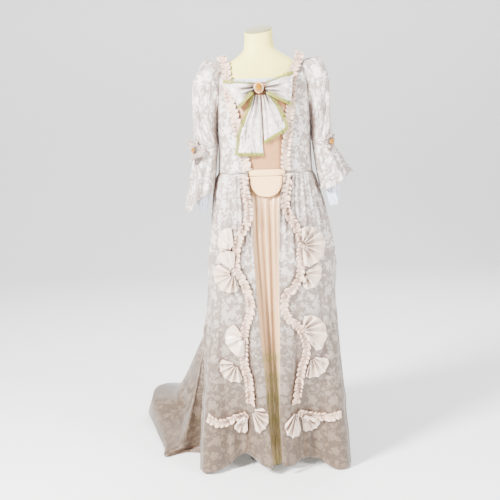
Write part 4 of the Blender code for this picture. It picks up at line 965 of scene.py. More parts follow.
Finishes = dict[Finish, bpy.types.Material]
ROBE_COLOURS = ("FFFAF4", "9E8D84", "86725E", "4C3B2C")
LOOKS = {
    Finish.FORM: Plain("form", "F4EA84", 0.50),
    Finish.CAP: Plain("cap", "98926E", 0.55),
    Finish.STEEL: Plain("steel", "C9C9CC", 0.35, 0.8),
    Finish.DAMASK: Damask("damask", *ROBE_COLOURS),
    Finish.TRAIN: Damask("train_damask", *ROBE_COLOURS, wrap=True),
    Finish.PETTICOAT: PetticoatSatin("petticoat_satin"),
    Finish.SATIN: Satin("stomacher_satin", "C08A5E", "9E6E46"),
    # The last colour given to each satin is the painted shade in its creases.
    Finish.PEACH: Satin("ruffle_satin", "F4D6C0", "C8967A", 0.40, 120.0, "4E3426"),
    Finish.EARS: Damask("ear_damask", "D8C8BE", "8C7A70", "D8C8BE", "8C7A70", scale=0.7),
    Finish.FAN: Satin("fan_satin", "F6E2D2", "CFA98E", 0.32, 90.0, "6A4832"),
    Finish.CREAM: Satin("cream_satin", "FFD598", "F2BE7C"),
    Finish.BOW: Damask("bow_damask", "FFFDFA", "D0C2BA", "FFFDFA", "D0C2BA", 0.3, 0.6),
    Finish.LIME: Satin("lime_braid", "B7B844", "8D902C", 0.5, 60.0, "5A5E1C"),
    Finish.LACE: LaceCloth("lace", "DDE4F2"),
    Finish.GOLD: Plain("gold", "F4C98C", 0.35, 0.20),
    Finish.AMBER: Plain("amber", "C08600", 0.08, 0.0, 0.8, "E0A400"),
}


def make_finishes() -> Finishes:
    """Return the material of every finish."""
    return {finish: look.build() for finish, look in LOOKS.items()}


@dataclass
class Cloth:
    """A grid of points on the outside of one piece of cloth."""

    name: str
    points: np.ndarray
    finish: Finish
    closed: bool = False
    thickness: float = SHELL
    held: str = "hung"
    rests_on: tuple = ()
    front: bool = False

    def cut(self) -> tuple[np.ndarray, np.ndarray, np.ndarray]:
        """Measure the piece along its surface.

        Returns:
            (coordinates of each point on the flat cloth, width of each row, length of
            each column), in metres.
        """
        across = np.linalg.norm(np.diff(self.points, axis=1), axis=2)
        down = np.linalg.norm(np.diff(self.points, axis=0), axis=2)
        u = np.pad(np.cumsum(across, axis=1), ((0, 0), (1, 0)))
        v = np.pad(np.cumsum(down, axis=0), ((1, 0), (0, 0)))
        middle = u[:, u.shape[1] // 2][:, None]
        mean_v = v.mean(axis=1)[:, None]
        return np.stack([u - middle, 0.5 * (v + mean_v)], axis=2), across.sum(axis=1), down.sum(axis=0)

    def build(self, finishes: Finishes) -> Piece:
        """Args:
            finishes: material of each finish.

        Returns:
            The new object.
        """
        if self.closed:
            self.points = np.concatenate([self.points, self.points[:, :1]], axis=1)
        points = self.points
        rows, columns = points.shape[:2]
        cut, widths, lengths = self.cut()
        mesh = bmesh.new()
        made = bmesh.ops.create_grid(mesh, x_segments=columns - 1, y_segments=rows - 1, size=1.0)
        layer = mesh.loops.layers.uv.new("cut")
        index = {}
        for vertex in made["verts"]:
            c = int(round((vertex.co.x + 1.0) / 2.0 * (columns - 1)))
            r = int(round((vertex.co.y + 1.0) / 2.0 * (rows - 1)))
            index[vertex] = (r, c)
            vertex.co = points[r, c] - (0.0, 0.0, FLOOR_Z)
        for face in mesh.faces:
            face.smooth = True
            for loop in face.loops:
                loop[layer].uv = cut[index[loop.vert]]
        mesh.normal_update()
        self.turn_out(mesh)
        flat_area = sum(face.calc_area() for face in mesh.faces)
        if self.closed:
            bmesh.ops.remove_doubles(mesh, verts=mesh.verts, dist=1e-6)
        piece = finished_object(self.name, mesh, finishes[self.finish])
        shell = piece.modifiers.new("thickness", "SOLIDIFY")
        shell.thickness = self.thickness
        shell.offset = -1.0
        declare(piece, self.finish, self.name.replace("cloth_", ""))
        return piece

    def turn_out(self, mesh: bmesh.types.BMesh) -> None:
        """Turn the faces so that they look away from the wearer."""
        top, bottom = [self.ring_middle(row) for row in (0, -1)]
        total = 0.0
        for face in mesh.faces:
            middle = face.calc_center_median()
            if self.front:
                out = Vector((0.0, -1.0, 0.0))
            elif self.closed:
                ring = top if middle.z > ELBOW_Z - FLOOR_Z else bottom
                out = Vector((middle.x - ring[0], middle.y - ring[1], 0.0))
            else:
                out = Vector((middle.x, middle.y, 0.02))
            total += face.normal.dot(out) * face.calc_area()
        if total < 0.0:
            bmesh.ops.reverse_faces(mesh, faces=mesh.faces)

    def ring_middle(self, row: int) -> np.ndarray:
        """Return the middle of one row of a closed piece."""
        ring = self.points[row]
        return (ring[:-1] if self.closed else ring).mean(axis=0)


def finished_object(name: str, mesh: bmesh.types.BMesh, material: bpy.types.Material) -> Piece:
    """Put a bmesh into the scene and free it.

    Args:
        name: name of the object.
        mesh: its shape.
        material: its material.

    Returns:
        The new object.
    """
    data = bpy.data.meshes.new(name)
    mesh.to_mesh(data)
    mesh.free()
    data.materials.append(material)
    piece = bpy.data.objects.new(name, data)
    bpy.context.scene.collection.objects.link(piece)
    return piece


def declare(piece: Piece, finish: Finish, *nodes: str) -> None:
    """Args:
        piece: the object.
        finish: its finish.
        nodes: the nodes of the part that it replaces.
    """
    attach(piece, "root")
    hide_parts(*nodes)
    LOG.info("%s: %s, for %s", piece.name, finish.value, ", ".join(nodes))


def neck_cut(points: np.ndarray, height: float) -> np.ndarray:
    """Return how far points of the neck are raised by the slope of its cut."""
    share = ease((height - 1.440) / (FORM_TOP_Z - 1.440))
    return share * (NECK_CUT_SIDE * points[:, 0] + NECK_CUT_BACK * points[:, 1])


def ring_solid(rings: list) -> bmesh.types.BMesh:
    """Return a bmesh of a tube of rings with both ends filled.

    Args:
        rings: rings of points, all of one length.

    Returns:
        The new bmesh.
    """
    mesh = bmesh.new()
    loops = [[mesh.verts.new(point) for point in ring] for ring in rings]
    count = len(rings[0])
    for low, high in zip(loops, loops[1:]):
        for i in range(count):
            n = (i + 1) % count
            mesh.faces.new((low[i], low[n], high[n], high[i]))
    mesh.faces.new(loops[0])
    mesh.faces.new(loops[-1])
    return mesh


def ease(value: Numbers) -> Numbers:
    """Return a smooth step from 0 to 1 of values from 0 to 1."""
    value = np.clip(value, 0.0, 1.0)
    return value * value * (3.0 - 2.0 * value)


def turns(count: int) -> np.ndarray:
    """Return evenly spaced angles around a full turn."""
    return np.linspace(0.0, 2.0 * np.pi, count + 1)[:-1]


def travelled(line: np.ndarray) -> np.ndarray:
    """Return the way travelled along a line up to each of its points."""
    return np.concatenate([[0.0], np.cumsum(np.linalg.norm(np.diff(line, axis=0), axis=1))])


def power(value: Numbers, exponent: float) -> Numbers:
    """Return |value| to a power with the sign of the value."""
    return np.sign(value) * np.abs(value) ** exponent


def oval(half: Numbers, front: Numbers, back: Numbers, square: float, degrees: Numbers,
         height: Numbers) -> np.ndarray:
    """Return points of rounded sections; 0 degrees is the front, 90 the right.

    Args:
        half: half width.
        front: depth of the front half.
        back: depth of the back half.
        square: roundness, 2 for an ellipse.
        degrees: directions of the points.
        height: their heights.

    Returns:
        Array of points.
    """
    angle = np.radians(degrees)
    across = np.sin(angle)
    along = np.cos(angle)
    depth = np.where(along > 0, front, back)
    x = half * power(across, 2.0 / square)
    y = -depth * power(along, 2.0 / square)
    return np.stack(np.broadcast_arrays(x, y, height), axis=-1).astype(float)


def torso(table: Table, degrees: Numbers, height: Numbers, out: float = 0.0) -> np.ndarray:
    """Return points of the form or bodice, moved out by a distance."""
    return oval(table.read("half", height) + out, table.read("front", height) + out,
                table.read("back", height) + out, SQUARE, degrees, height)


def bodice_degrees(offset: Numbers, height: Numbers) -> Numbers:
    """Return the direction at which the bodice is this far from the centre."""
    share = np.minimum(np.abs(offset) / BODICE.read("half", height), 1.0)
    return np.degrees(np.arcsin(share ** (SQUARE / 2.0)))


def bodice_x(along: Numbers, height: Numbers) -> Numbers:
    """Return the half width of the bodice at a depth and height."""
    depth = np.where(along < 0, BODICE.read("front", height), BODICE.read("back", height))
    share = np.minimum(np.abs(along) / depth, 1.0) ** SQUARE
    return BODICE.read("half", height) * (1.0 - share) ** (1.0 / SQUARE)


def normals(points: np.ndarray) -> np.ndarray:
    """Return unit normals of a grid of points."""
    cross = np.cross(np.gradient(points, axis=1), np.gradient(points, axis=0))
    return cross / np.maximum(np.linalg.norm(cross, axis=2, keepdims=True), 1e-12)


def crease_push(shape: tuple[int, int], creases: tuple[Crease, ...]) -> np.ndarray:
    """Return how far the creases push a grid out.

    Args:
        shape: rows and columns.
        creases: the ridges and troughs.

    Returns:
        Array of distances.
    """
    v, u = np.meshgrid(np.linspace(0, 1, shape[0]), np.linspace(0, 1, shape[1]), indexing="ij")
    total = np.zeros(shape)
    for crease in creases:
        start = np.array(crease.start)
        way = np.array(crease.end) - start
        size = way.dot(way)
        along = ((u - start[0]) * way[0] + (v - start[1]) * way[1]) / size
        near = np.clip(along, 0.0, 1.0)
        away = np.hypot(u - start[0] - near * way[0], v - start[1] - near * way[1])
        taper = np.sin(np.pi * np.clip(along * 0.9 + 0.05, 0.0, 1.0)) ** 0.7
        total += crease.push * taper * np.exp(-((away / crease.width) ** 2))
    return total


def rough_push(shape: tuple[int, int], seed: int, size: float, amount: float) -> np.ndarray:
    """Return a soft uneven push made of a few random waves.

    Args:
        shape: rows and columns.
        seed: seed of the random waves.
        size: largest number of waves.
        amount: height of the push.

    Returns:
        Array of distances.
    """
    random = np.random.default_rng(seed)
    v, u = np.meshgrid(np.linspace(0, 1, shape[0]), np.linspace(0, 1, shape[1]), indexing="ij")
    total = np.zeros(shape)
    for _ in range(7):
        a, b = random.uniform(-1.0, 1.0, 2) * size
        total += np.cos(2.0 * np.pi * (a * u + b * v) + random.uniform(0.0, 6.28))
    return amount * total / 2.6


def skirt_lines(heights: np.ndarray, side: int, columns: int) -> tuple[np.ndarray, np.ndarray]:
    """Return the plain skirt front and its outward normals on one side.

    Args:
        heights: array of heights.
        side: which side.
        columns: number of cells from the opening to the seam.

    Returns:
        (points, normals), each rows by columns + 1 by 3.
    """
    word = SIDES[side]
    points = np.zeros((len(heights), columns + 1, 3))
    away = np.zeros_like(points)
    for r, height in enumerate(heights):
        half, front, back, seam, square = [float(SKIRT.read(name, height)) for name in
                                           (word, "front", "back", "seam", "square")]
        share = min(float(OPENING.read(word, height)) / half, 1.0)
        first = math.degrees(math.asin(share ** (square / 2.0)))
        degrees = first + (seam - first) * np.linspace(0, 1, 241) ** 1.6
        fine = oval(half, front, back, square, degrees, height)
        steps = travelled(fine)
        travel = steps[-1] * np.linspace(0, 1, columns + 1)
        x = np.interp(travel, steps, fine[:, 0])
        y = np.interp(travel, steps, fine[:, 1])
        ahead = np.minimum(travel + 0.003, steps[-1])
        behind = np.maximum(travel - 0.003, 0.0)
        dx = np.interp(ahead, steps, fine[:, 0]) - np.interp(behind, steps, fine[:, 0])
        dy = np.interp(ahead, steps, fine[:, 1]) - np.interp(behind, steps, fine[:, 1])
        size = np.hypot(dx, dy)
        points[r] = np.stack([side * x, y, np.full_like(x, height)], axis=1)
        away[r] = np.stack([side * dy / size, -dx / size, np.zeros_like(x)], axis=1)
    return points, away


def fold_push(share: np.ndarray, height: np.ndarray, folds: tuple[Fold, ...]) -> np.ndarray:
    """Return how far the folds and gathers push the skirt out.

    Args:
        share: places from the opening to the seam.
        height: heights.
        folds: the folds.

    Returns:
        Array of distances.
    """
    push = np.zeros(np.broadcast(share, height).shape)
    for fold in folds:
        bump = np.exp(-(((share - fold.share) / fold.half) ** 2))
        push = push + fold.push * bump * ease((fold.top - height) / fold.top) ** 1.2
    near = ease((height - 0.64) / 0.34) * ease((WAIST_Z + 0.004 - height) / 0.022)
    uneven = share + 0.010 * np.sin(17.0 * share) + 0.006 * np.sin(41.0 * share)
    gather = 0.0056 * np.cos(2.0 * np.pi * 15.0 * uneven) * (0.7 + 0.3 * np.cos(9.0 * share))
    return (push + gather * near) * ease((1.0 - share) / 0.10)


def hem_rise(share: np.ndarray, height: np.ndarray, side: int, least: float = 0.0) -> np.ndarray:
    """Return how far the skirt is raised towards the waves of its hem."""
    rise = np.maximum(HEMS[side].read("rise", share), least)
    return rise * np.maximum((HEM_BLEND - height) / (HEM_BLEND - HEM_Z), 0.0) ** 1.5


def make_skirt(side: int) -> np.ndarray:
    """Return one front of the robe's skirt.

    Args:
        side: which side.

    Returns:
        Grid of points.
    """
    rows = 150
    columns = 120
    heights = SKIRT_TOP_Z + (HEM_Z - SKIRT_TOP_Z) * np.linspace(0, 1, rows + 1) ** 1.15
    points, away = skirt_lines(heights, side, columns)
    share = np.linspace(0, 1, columns + 1)[None, :]
    push = fold_push(share, heights[:, None], FOLDS[side])
    fade = ease((1.02 - heights[:, None]) / 0.15) * ease((1.0 - share) / 0.1)
    push = push + crease_push(push.shape, SKIRT_CREASES) * fade
    push = push + rough_push(push.shape, 5 + side, 7.0, 0.0011) * fade
    points = points + away * push[:, :, None]
    points[:, :, 2] += hem_rise(share, heights[:, None], side)
    return points


def make_sack() -> np.ndarray:
    """Return the sack back with its pleats, and the train.

    Returns:
        Grid of points.
    """
    columns = 180
    share = np.linspace(-1.0, 1.0, columns + 1)
    grid = []
    room = np.maximum(1.0 - share**2, 0.0) ** 0.8

    def upper(height: float) -> np.ndarray:
        """Return one row of the box pleats above the waist."""
        edge = float(SACK_LINE.read("half", min(height, 1.4135))) - SEAM_GAP
        inner = float(bodice_degrees(edge, height))
        row = torso(BODICE, 180.0 - share * inner, height)
        drop = float(ease((1.405 - height) / (1.405 - WAIST_Z)))
        pleat = 0.5 + 0.5 * np.cos(np.pi * SACK_PLEATS * share)
        crisp = 0.5 + 0.5 * np.tanh(3.0 * np.cos(np.pi * SACK_PLEATS * share))
        shape = pleat * drop + crisp * (1.0 - drop)
        row[:, 1] += (0.002 + SACK_BULGE * drop) * room + (0.004 + 0.010 * drop) * shape * room
        return row

    for height in np.linspace(1.411, WAIST_Z + 0.008, 46):
        grid.append(upper(height))
    waist = upper(WAIST_Z)
    grid.append(waist)
    hem = np.stack([TRAIN_HEM.read("x", share), TRAIN_HEM.read("y", share),
                    np.full_like(share, HEM_Z)], axis=1)
    rise = TRAIN_HEM.read("rise", share)
    out = hem - np.array([0.0, 0.05, HEM_Z])
    out[:, 2] = 0.0
    out /= np.linalg.norm(out, axis=1, keepdims=True)
    pleat = np.cos(np.pi * SACK_PLEATS * share) * (1.0 - np.abs(share)) ** 0.35
    low_heights = SKIRT_TOP_Z + (HEM_Z - SKIRT_TOP_Z) * np.linspace(0.006, 1, 110) ** 0.94
    seams = {side: skirt_lines(low_heights, side, 1)[0][:, -1] for side in (-1, 1)}
    edge_fade = 1.0 - np.abs(share) ** 8
    for r, height in enumerate(low_heights):
        spread = (1.0 - (height / WAIST_Z) ** SACK_FLARE) ** 1.2
        if r == len(low_heights) - 1:
            spread = 0.96
        row = waist + (hem - waist) * spread
        left = seams[-1][r] - (waist[0] + (hem[0] - waist[0]) * spread)
        right = seams[1][r] - (waist[-1] + (hem[-1] - waist[-1]) * spread)
        pull = np.abs(share) ** 3
        row = row + np.where(share < 0, pull, 0.0)[:, None] * left
        row = row + np.where(share >= 0, pull, 0.0)[:, None] * right
        amount = 0.014 + 0.030 * float(ease((1.0 - height) / 0.8))
        row = row + out * (amount * pleat * (1.0 - spread * 0.55))[:, None]
        low = float(ease(spread / 0.5)) * edge_fade
        lift = (rise + 0.020 * (0.5 + 0.5 * pleat) * (1.0 - spread)) * low
        row[:, 2] = height + lift
        grid.append(row)
    last = hem + out * (0.012 * edge_fade)[:, None]
    last[:, 2] = FLOOR_Z + 0.0030 + HEM_FOLD * rise * edge_fade
    grid.append(last)
    points = np.array(grid)
    push = crease_push(points.shape[:2], TRAIN_CREASES) * edge_fade[None, :]
    down = ease(np.linspace(0, 1, points.shape[0]) / 0.4)[:, None]
    push += rough_push(points.shape[:2], 3, 6.0, 0.0014) * edge_fade[None, :] * down
    face = normals(points)
    face = np.where(face[:, :, 1:2] + face[:, :, 2:3] < 0.0, -face, face)
    points = points + face * push[:, :, None]
    points[:, :, 2] = np.maximum(points[:, :, 2], FLOOR_Z + 0.0022)
    return points


def make_petticoat() -> np.ndarray:
    """Return the petticoat tube.

    Returns:
        Grid of points.
    """
    heights = np.concatenate([[PETTICOAT_TOP_Z, 1.030, 1.020, 1.010], np.linspace(1.0, HEM_Z, 74)])
    count = 44
    left, left_away = skirt_lines(heights, -1, count)
    right, right_away = skirt_lines(heights, 1, count)
    share = np.linspace(0, 1, count + 1)[None, :]
    level = heights[:, None]
    inset = 0.018 + 0.008 * ease((0.7 - level) / 0.6)
    sides = {}
    for side, points, away in ((-1, left, left_away), (1, right, right_away)):
        push = fold_push(share, level, FOLDS[side][:MAIN_FOLDS[side]])
        push = np.minimum(push, 0.0) + 0.25 * np.maximum(push, 0.0) - inset
        sides[side] = points + away * push[:, :, None]
        sides[side][:, :, 2] += hem_rise(share, level, side, PETTICOAT_HEM)
    rings = []
    for r, height in enumerate(heights):
        start = sides[-1][r, 0]
        end = sides[1][r, 0]
        gap_share = np.linspace(0, 1, 42)[1:-1, None]
        gap = start + (end - start) * gap_share
        deep = 0.006 + 0.034 * float(ease((0.9 - height) / 0.9))
        flat = gap_share[:, 0]
        edge = np.sin(np.pi * flat) ** 0.5
        drift = 0.03 * math.sin(4.0 * height) + 0.012 * math.sin(11.0 * height)
        ripple = np.zeros_like(flat)
        for centre, wide, push in PETTICOAT_FOLDS:
            ripple = ripple + push * np.exp(-(((flat - centre - drift) / wide) ** 2))
        room = min(float(np.linalg.norm(end - start)) / 0.125, 1.0)
        fine = 0.0010 * np.cos(2.0 * np.pi * (9.0 * flat + 2.0 * drift))
        ripple = ripple * (0.15 + 0.85 * room) + fine * room
        gap[:, 2] -= PETTICOAT_DROP * edge * float(ease((HEM_BLEND - height) / HEM_BLEND))
        gap[:, 1] += deep * edge + ripple * edge * (0.5 + 0.5 * float(ease((1.03 - height) / 0.2)))
        side_start = sides[1][r, -1]
        side_end = sides[-1][r, -1]
        reach = 0.128 + 0.07 * float(ease((0.98 - height) / 0.9))
        angle = np.linspace(0, np.pi, 52)[1:-1]
        wide = np.where(angle < np.pi / 2, side_start[0] * np.cos(angle), -side_end[0] * np.cos(angle))
        soft = 0.004 * np.cos(9.0 * angle) * float(ease((1.0 - height) / 0.3))
        back = np.stack([wide, side_start[1] + (reach - side_start[1] + soft) * np.sin(angle) ** 0.8,
                         np.full_like(angle, side_start[2])], axis=1)
        ring = np.concatenate([sides[-1][r, ::-1], gap, sides[1][r], back])
        hug = float(ease((height - 0.95) / 0.075))
        if hug > 0.0:
            around = np.arctan2(ring[:, 0], -ring[:, 1])
            level_z = max(height, FORM_BOTTOM_Z)
            half, front, rear = [float(FORM.read(n, level_z)) for n in ("half", "front", "back")]
            depth = np.where(np.cos(around) > 0, front, rear)
            snug = ((np.abs(np.sin(around)) / half) ** SQUARE
                    + (np.abs(np.cos(around)) / depth) ** SQUARE) ** (-1.0 / SQUARE) + 0.0066
            near = np.stack([np.sin(around) * snug, -np.cos(around) * snug,
                             np.full_like(snug, height)], axis=1)
            ring = ring + (near - ring) * hug
        rings.append(ring)
    return np.array(rings)


def make_stomacher() -> np.ndarray:
    """Return the front panel between the robings.

    Returns:
        Grid of points.
    """
    heights = np.linspace(1.0404, NECKLINE_Z, 60)[:, None]
    left = -bodice_degrees(ROBING_LINE.read("left", heights) - SEAM_GAP, heights)
    right = bodice_degrees(ROBING_LINE.read("right", heights) - SEAM_GAP, heights)
    degrees = left + (right - left) * np.linspace(0, 1, 61)[None, :]
    points = torso(BODICE, degrees, np.broadcast_to(heights, degrees.shape))
    points[:, :, 1] -= crease_push(degrees.shape, STOMACHER_CREASES)
    return points


def make_bodice(side: int, front: bool) -> np.ndarray:
    """Return a bodice front or side back.

    Args:
        side: which side.
        front: whether it is the front.

    Returns:
        Grid of points.
    """
    rows = 90
    columns = 60
    at = np.linspace(0, 11, rows + 1)
    inner_z = BODICE_ROWS.read("inner", at)
    outer_z = BODICE_ROWS.read("outer", at)
    if front:
        inner_x = ROBING_LINE.read(SIDES[side], inner_z) + SEAM_GAP
    else:
        inner_x = SACK_LINE.read("half", inner_z) + SEAM_GAP
    inner = bodice_degrees(inner_x, inner_z)
    share = (outer_z - ARMHOLE_Z) / ARMHOLE_HALF_HEIGHT
    along = np.where(share > -1.0, ARMHOLE_HALF_DEPTH * np.sqrt(np.maximum(1.0 - share**2, 0.0)), 0.0)
    depth = BODICE.read("front" if front else "back", outer_z)
    outer = np.degrees(np.arccos(np.minimum(along / depth, 1.0) ** (SQUARE / 2.0))) - 0.4
    inner = np.minimum(inner, outer - 6.0)
    t = np.linspace(0, 1, columns + 1)[None, :]
    degrees = inner[:, None] + (outer - inner)[:, None] * t
    height = inner_z[:, None] + (outer_z - inner_z)[:, None] * t
    turned = degrees if front else 180.0 - degrees
    points = torso(BODICE, side * turned, height)
    push = crease_push(degrees.shape, BODICE_CREASES) * (1.0 if front else 0.6)
    out = np.stack([points[:, :, 0], points[:, :, 1], np.zeros_like(height)], axis=2)
    out /= np.linalg.norm(out, axis=2, keepdims=True)
    return points + out * push[:, :, None]


def make_sleeve(side: int) -> np.ndarray:
    """Return a sleeve from the armhole to the elbow, head pleats and creases included.

    Args:
        side: which side.

    Returns:
        Closed grid of points.
    """
    angle = turns(96)
    table = SLEEVES[side]
    rings = []
    z = ARMHOLE_Z + ARMHOLE_HALF_HEIGHT * np.cos(angle)
    y = ARMHOLE_HALF_DEPTH * np.sin(angle)
    raised = ease((np.cos(angle) - 0.45) / 0.55)
    first_x = bodice_x(y, z) + 0.0004 - SHOULDER_REACH[0] * raised
    first = np.stack([first_x, y, z + SHOULDER_REACH[1] * raised], axis=1)
    for at in np.linspace(-1.0, 6.0, 90):
        if at < 0.0:
            inner_ring = sleeve_ring(table, 0.0, angle, side)
            t = 1.0 + at
            rings.append(first + (inner_ring - first) * t)
        else:
            rings.append(sleeve_ring(table, at, angle, side))
    points = np.array(rings)
    shape = points.shape[:2]
    middle = points.mean(axis=1, keepdims=True)
    out = points - middle
    out /= np.maximum(np.linalg.norm(out, axis=2, keepdims=True), 1e-9)
    rows = np.linspace(0, 1, shape[0])[:, None]
    outer = np.maximum(np.cos(angle), 0.0)[None, :] ** 0.5
    pleats = 0.0036 * np.cos(14.0 * angle + 0.6 * np.sin(3.0 * angle))[None, :]
    pleats = pleats * ease((0.42 - rows) / 0.36) * outer * ease(rows / 0.05)
    push = crease_push(shape, SLEEVE_CREASES) + pleats
    push = push + rough_push(shape, 11 + side, 3.0, 0.0010) * ease((1.0 - rows) / 0.1)
    free = 1.0 - 0.8 * np.maximum(-np.cos(angle), 0.0)[None, :]
    points = points + out * (push * free)[:, :, None]
    points[:, :, 0] *= side
    return points


def sleeve_ring(table: Table, at: float, angle: np.ndarray, side: int) -> np.ndarray:
    """Return one ring of a sleeve on the right of the picture.

    Args:
        table: sections of the sleeve.
        at: row of the table.
        angle: directions of the points.
        side: which side.

    Returns:
        Ring of points.
    """
    names = ("outer_x", "outer_z", "inner_x", "inner_z", "depth", "y")
    outer_x, outer_z, inner_x, inner_z, depth, y = [float(table.read(name, at)) for name in names]
    inner_x = inner_x - SLEEVE_SNUG[side]
    middle = np.array([(outer_x + inner_x) / 2.0, y, (outer_z + inner_z) / 2.0])
    half = np.array([(outer_x - inner_x) / 2.0, 0.0, (outer_z - inner_z) / 2.0])
    ring = middle + half * power(np.cos(angle), 0.9)[:, None]
    ring[:, 1] += depth * power(np.sin(angle), 0.9)
    return ring


def make_frill(side: int, frill: Frill, inset: float, top: float, fine: int,
               fine_push: float) -> np.ndarray:
    """Return a flared tube below the elbow.

    Args:
        side: which side.
        frill: its lower edge.
        inset: how far the top lies inside the sleeve.
        top: height of the top edge.
        fine: number of small gathers.
        fine_push: depth of the small gathers.

    Returns:
        Grid of points.
    """
    table = SLEEVES[side]
    angle = turns(144)
    degrees = np.degrees(angle)
    names = ("outer_x", "inner_x", "depth", "y")
    outer_x, inner_x, depth, y0 = [float(table.read(name, 6)) for name in names]
    inner_x = inner_x - SLEEVE_SNUG[side]
    middle_x = side * (outer_x + inner_x) / 2.0
    half_x = (outer_x - inner_x) / 2.0 - inset
    drops = Table("degrees z", frill.drops).read("z", degrees)
    gathers = fine_push * (np.cos(fine * angle + 0.5 * np.sin(2.0 * angle)) - 0.9)
    draw, softer = (FLOUNCE_DRAW, 1.0) if frill.side > 0 else (0.0, 0.6)
    rings = []
    for share in np.linspace(0.0, 1.0, 46):
        flare = share**1.15
        ripple = frill.ripple * share * (np.cos(frill.waves * angle) + frill.side)
        ripple = ripple + gathers * (0.35 + 0.65 * share) * float(ease(share / 0.08)) * softer
        wide = half_x + (frill.half_width - half_x) * flare + ripple
        deep = (depth - inset) + (frill.half_depth - depth + inset) * flare + ripple
        x = middle_x + (frill.centre_x - middle_x) * flare + side * wide * power(np.cos(angle), 0.9)
        x = x - side * draw * flare * np.maximum(np.cos(angle), 0.0)
        y = y0 + (frill.centre_y - y0) * flare + deep * power(np.sin(angle), 0.9)
        z = top + (drops + 0.003 * np.cos(fine * angle) - top) * share
        rings.append(np.stack([x, y, z], axis=1))
    return np.array(rings)


class Ground:
    """What trims are laid on: a search tree over finished grids, seen from a direction."""

    def __init__(self, origin: Triple = (0.0, 0.0, 0.0), across: Triple = (1.0, 0.0, 0.0)) -> None:
        """Keep the frame of the view.

        Args:
            origin: middle of the view.
            across: its level direction.
        """
        self.origin = Vector(origin)
        self.across = Vector(across)
        self.up = Vector((0.0, 0.0, 1.0))
        self.out = self.across.cross(self.up)
        self.trees = []

    def add(self, points: np.ndarray, closed: bool = False) -> None:
        """Add a grid of points to the ground.

        Args:
            points: rows by columns by 3.
            closed: whether the rows run round.
        """
        rows, columns = points.shape[:2]
        flat = [Vector(p) for p in points.reshape(-1, 3)]
        faces = []
        last = columns if closed else columns - 1
        for r in range(rows - 1):
            for c in range(last):
                n = (c + 1) % columns
                low = r * columns
                high = low + columns
                faces.append((low + c, low + n, high + n, high + c))
        self.trees.append(BVHTree.FromPolygons(flat, faces))

    def height(self, a: float, b: float) -> Optional[float]:
        """Return how far out the ground lies at a place.

        Args:
            a: place across.
            b: place up.

        Returns:
            The height, or None where nothing lies.
        """
        start = self.origin + self.across * a + self.up * b + self.out * FAR
        best = None
        for tree in self.trees:
            hit = tree.ray_cast(start, -self.out)
            if hit[0] is not None and (best is None or FAR - hit[3] > best):
                best = FAR - hit[3]
        return best

    def lay(self, plan: np.ndarray, reach: float, soften: int = 2, clear: float = 0.0010) -> np.ndarray:
        """Lay a plan of (across, up, height) on the ground.

        Args:
            plan: rows by columns by 3.
            reach: distance to the neighbours that are felt as well.
            soften: passes of smoothing over the rest heights.
            clear: gap to the ground.

        Returns:
            Grid of points.
        """
        rows, columns = plan.shape[:2]
        level = np.full((rows, columns), np.nan)
        for r in range(rows):
            for c in range(columns):
                a, b = plan[r, c, :2]
                found = [self.height(a + i * reach, b + j * reach)
                         for i, j in ((0, 0), (1, 0), (-1, 0), (0, 1), (0, -1))]
                found = [value for value in found if value is not None]
                if found:
                    level[r, c] = max(found)
        known = ~np.isnan(level)
        if not known.all():
            places = plan[known][:, :2]
            heights = level[known]
            for r, c in zip(*np.where(~known)):
                nearest = np.argmin(((places - plan[r, c, :2]) ** 2).sum(axis=1))
                level[r, c] = heights[nearest]
        base = level
        for _ in range(soften):
            padded = np.pad(base, 1, mode="edge")
            soft = (padded[:-2, 1:-1] + padded[2:, 1:-1] + padded[1:-1, :-2] + padded[1:-1, 2:]
                    + 4.0 * base) / 8.0
            base = np.maximum(soft, level)
        out = base + SHELL + clear + plan[:, :, 2]
        origin, across, up, away = [np.array(v) for v in (self.origin, self.across, self.up, self.out)]
        return origin + plan[:, :, :1] * across + plan[:, :, 1:2] * up + out[:, :, None] * away


def smooth_line(path: tuple[Pair, ...], count: int) -> tuple[np.ndarray, np.ndarray]:
    """Return evenly spaced points and directions of a smooth path.

    Args:
        path: (across, up) knots.
        count: number of stations.

    Returns:
        (points, directions), each count by 2.
    """
    knots = np.array(path, dtype=float)
    padded = np.vstack([knots[:1], knots, knots[-1:]])
    fine = []
    for cell in range(len(knots) - 1):
        a, b, c, d = padded[cell:cell + 4]
        for t in np.linspace(0, 1, 24, endpoint=False):
            fine.append(0.5 * (2 * b + (c - a) * t + (2 * a - 5 * b + 4 * c - d) * t**2
                               + (3 * b - a - 3 * c + d) * t**3))
    fine.append(knots[-1])
    fine = np.array(fine)
    travel = travelled(fine)
    at = np.linspace(0.0, travel[-1], count)
    stations = (at, np.minimum(at + 0.005, travel[-1]), np.maximum(at - 0.005, 0.0))
    points, ahead, behind = [np.stack([np.interp(s, travel, fine[:, i]) for i in (0, 1)], axis=1)
                             for s in stations]
    way = ahead - behind
    return points, way / np.linalg.norm(way, axis=1, keepdims=True)


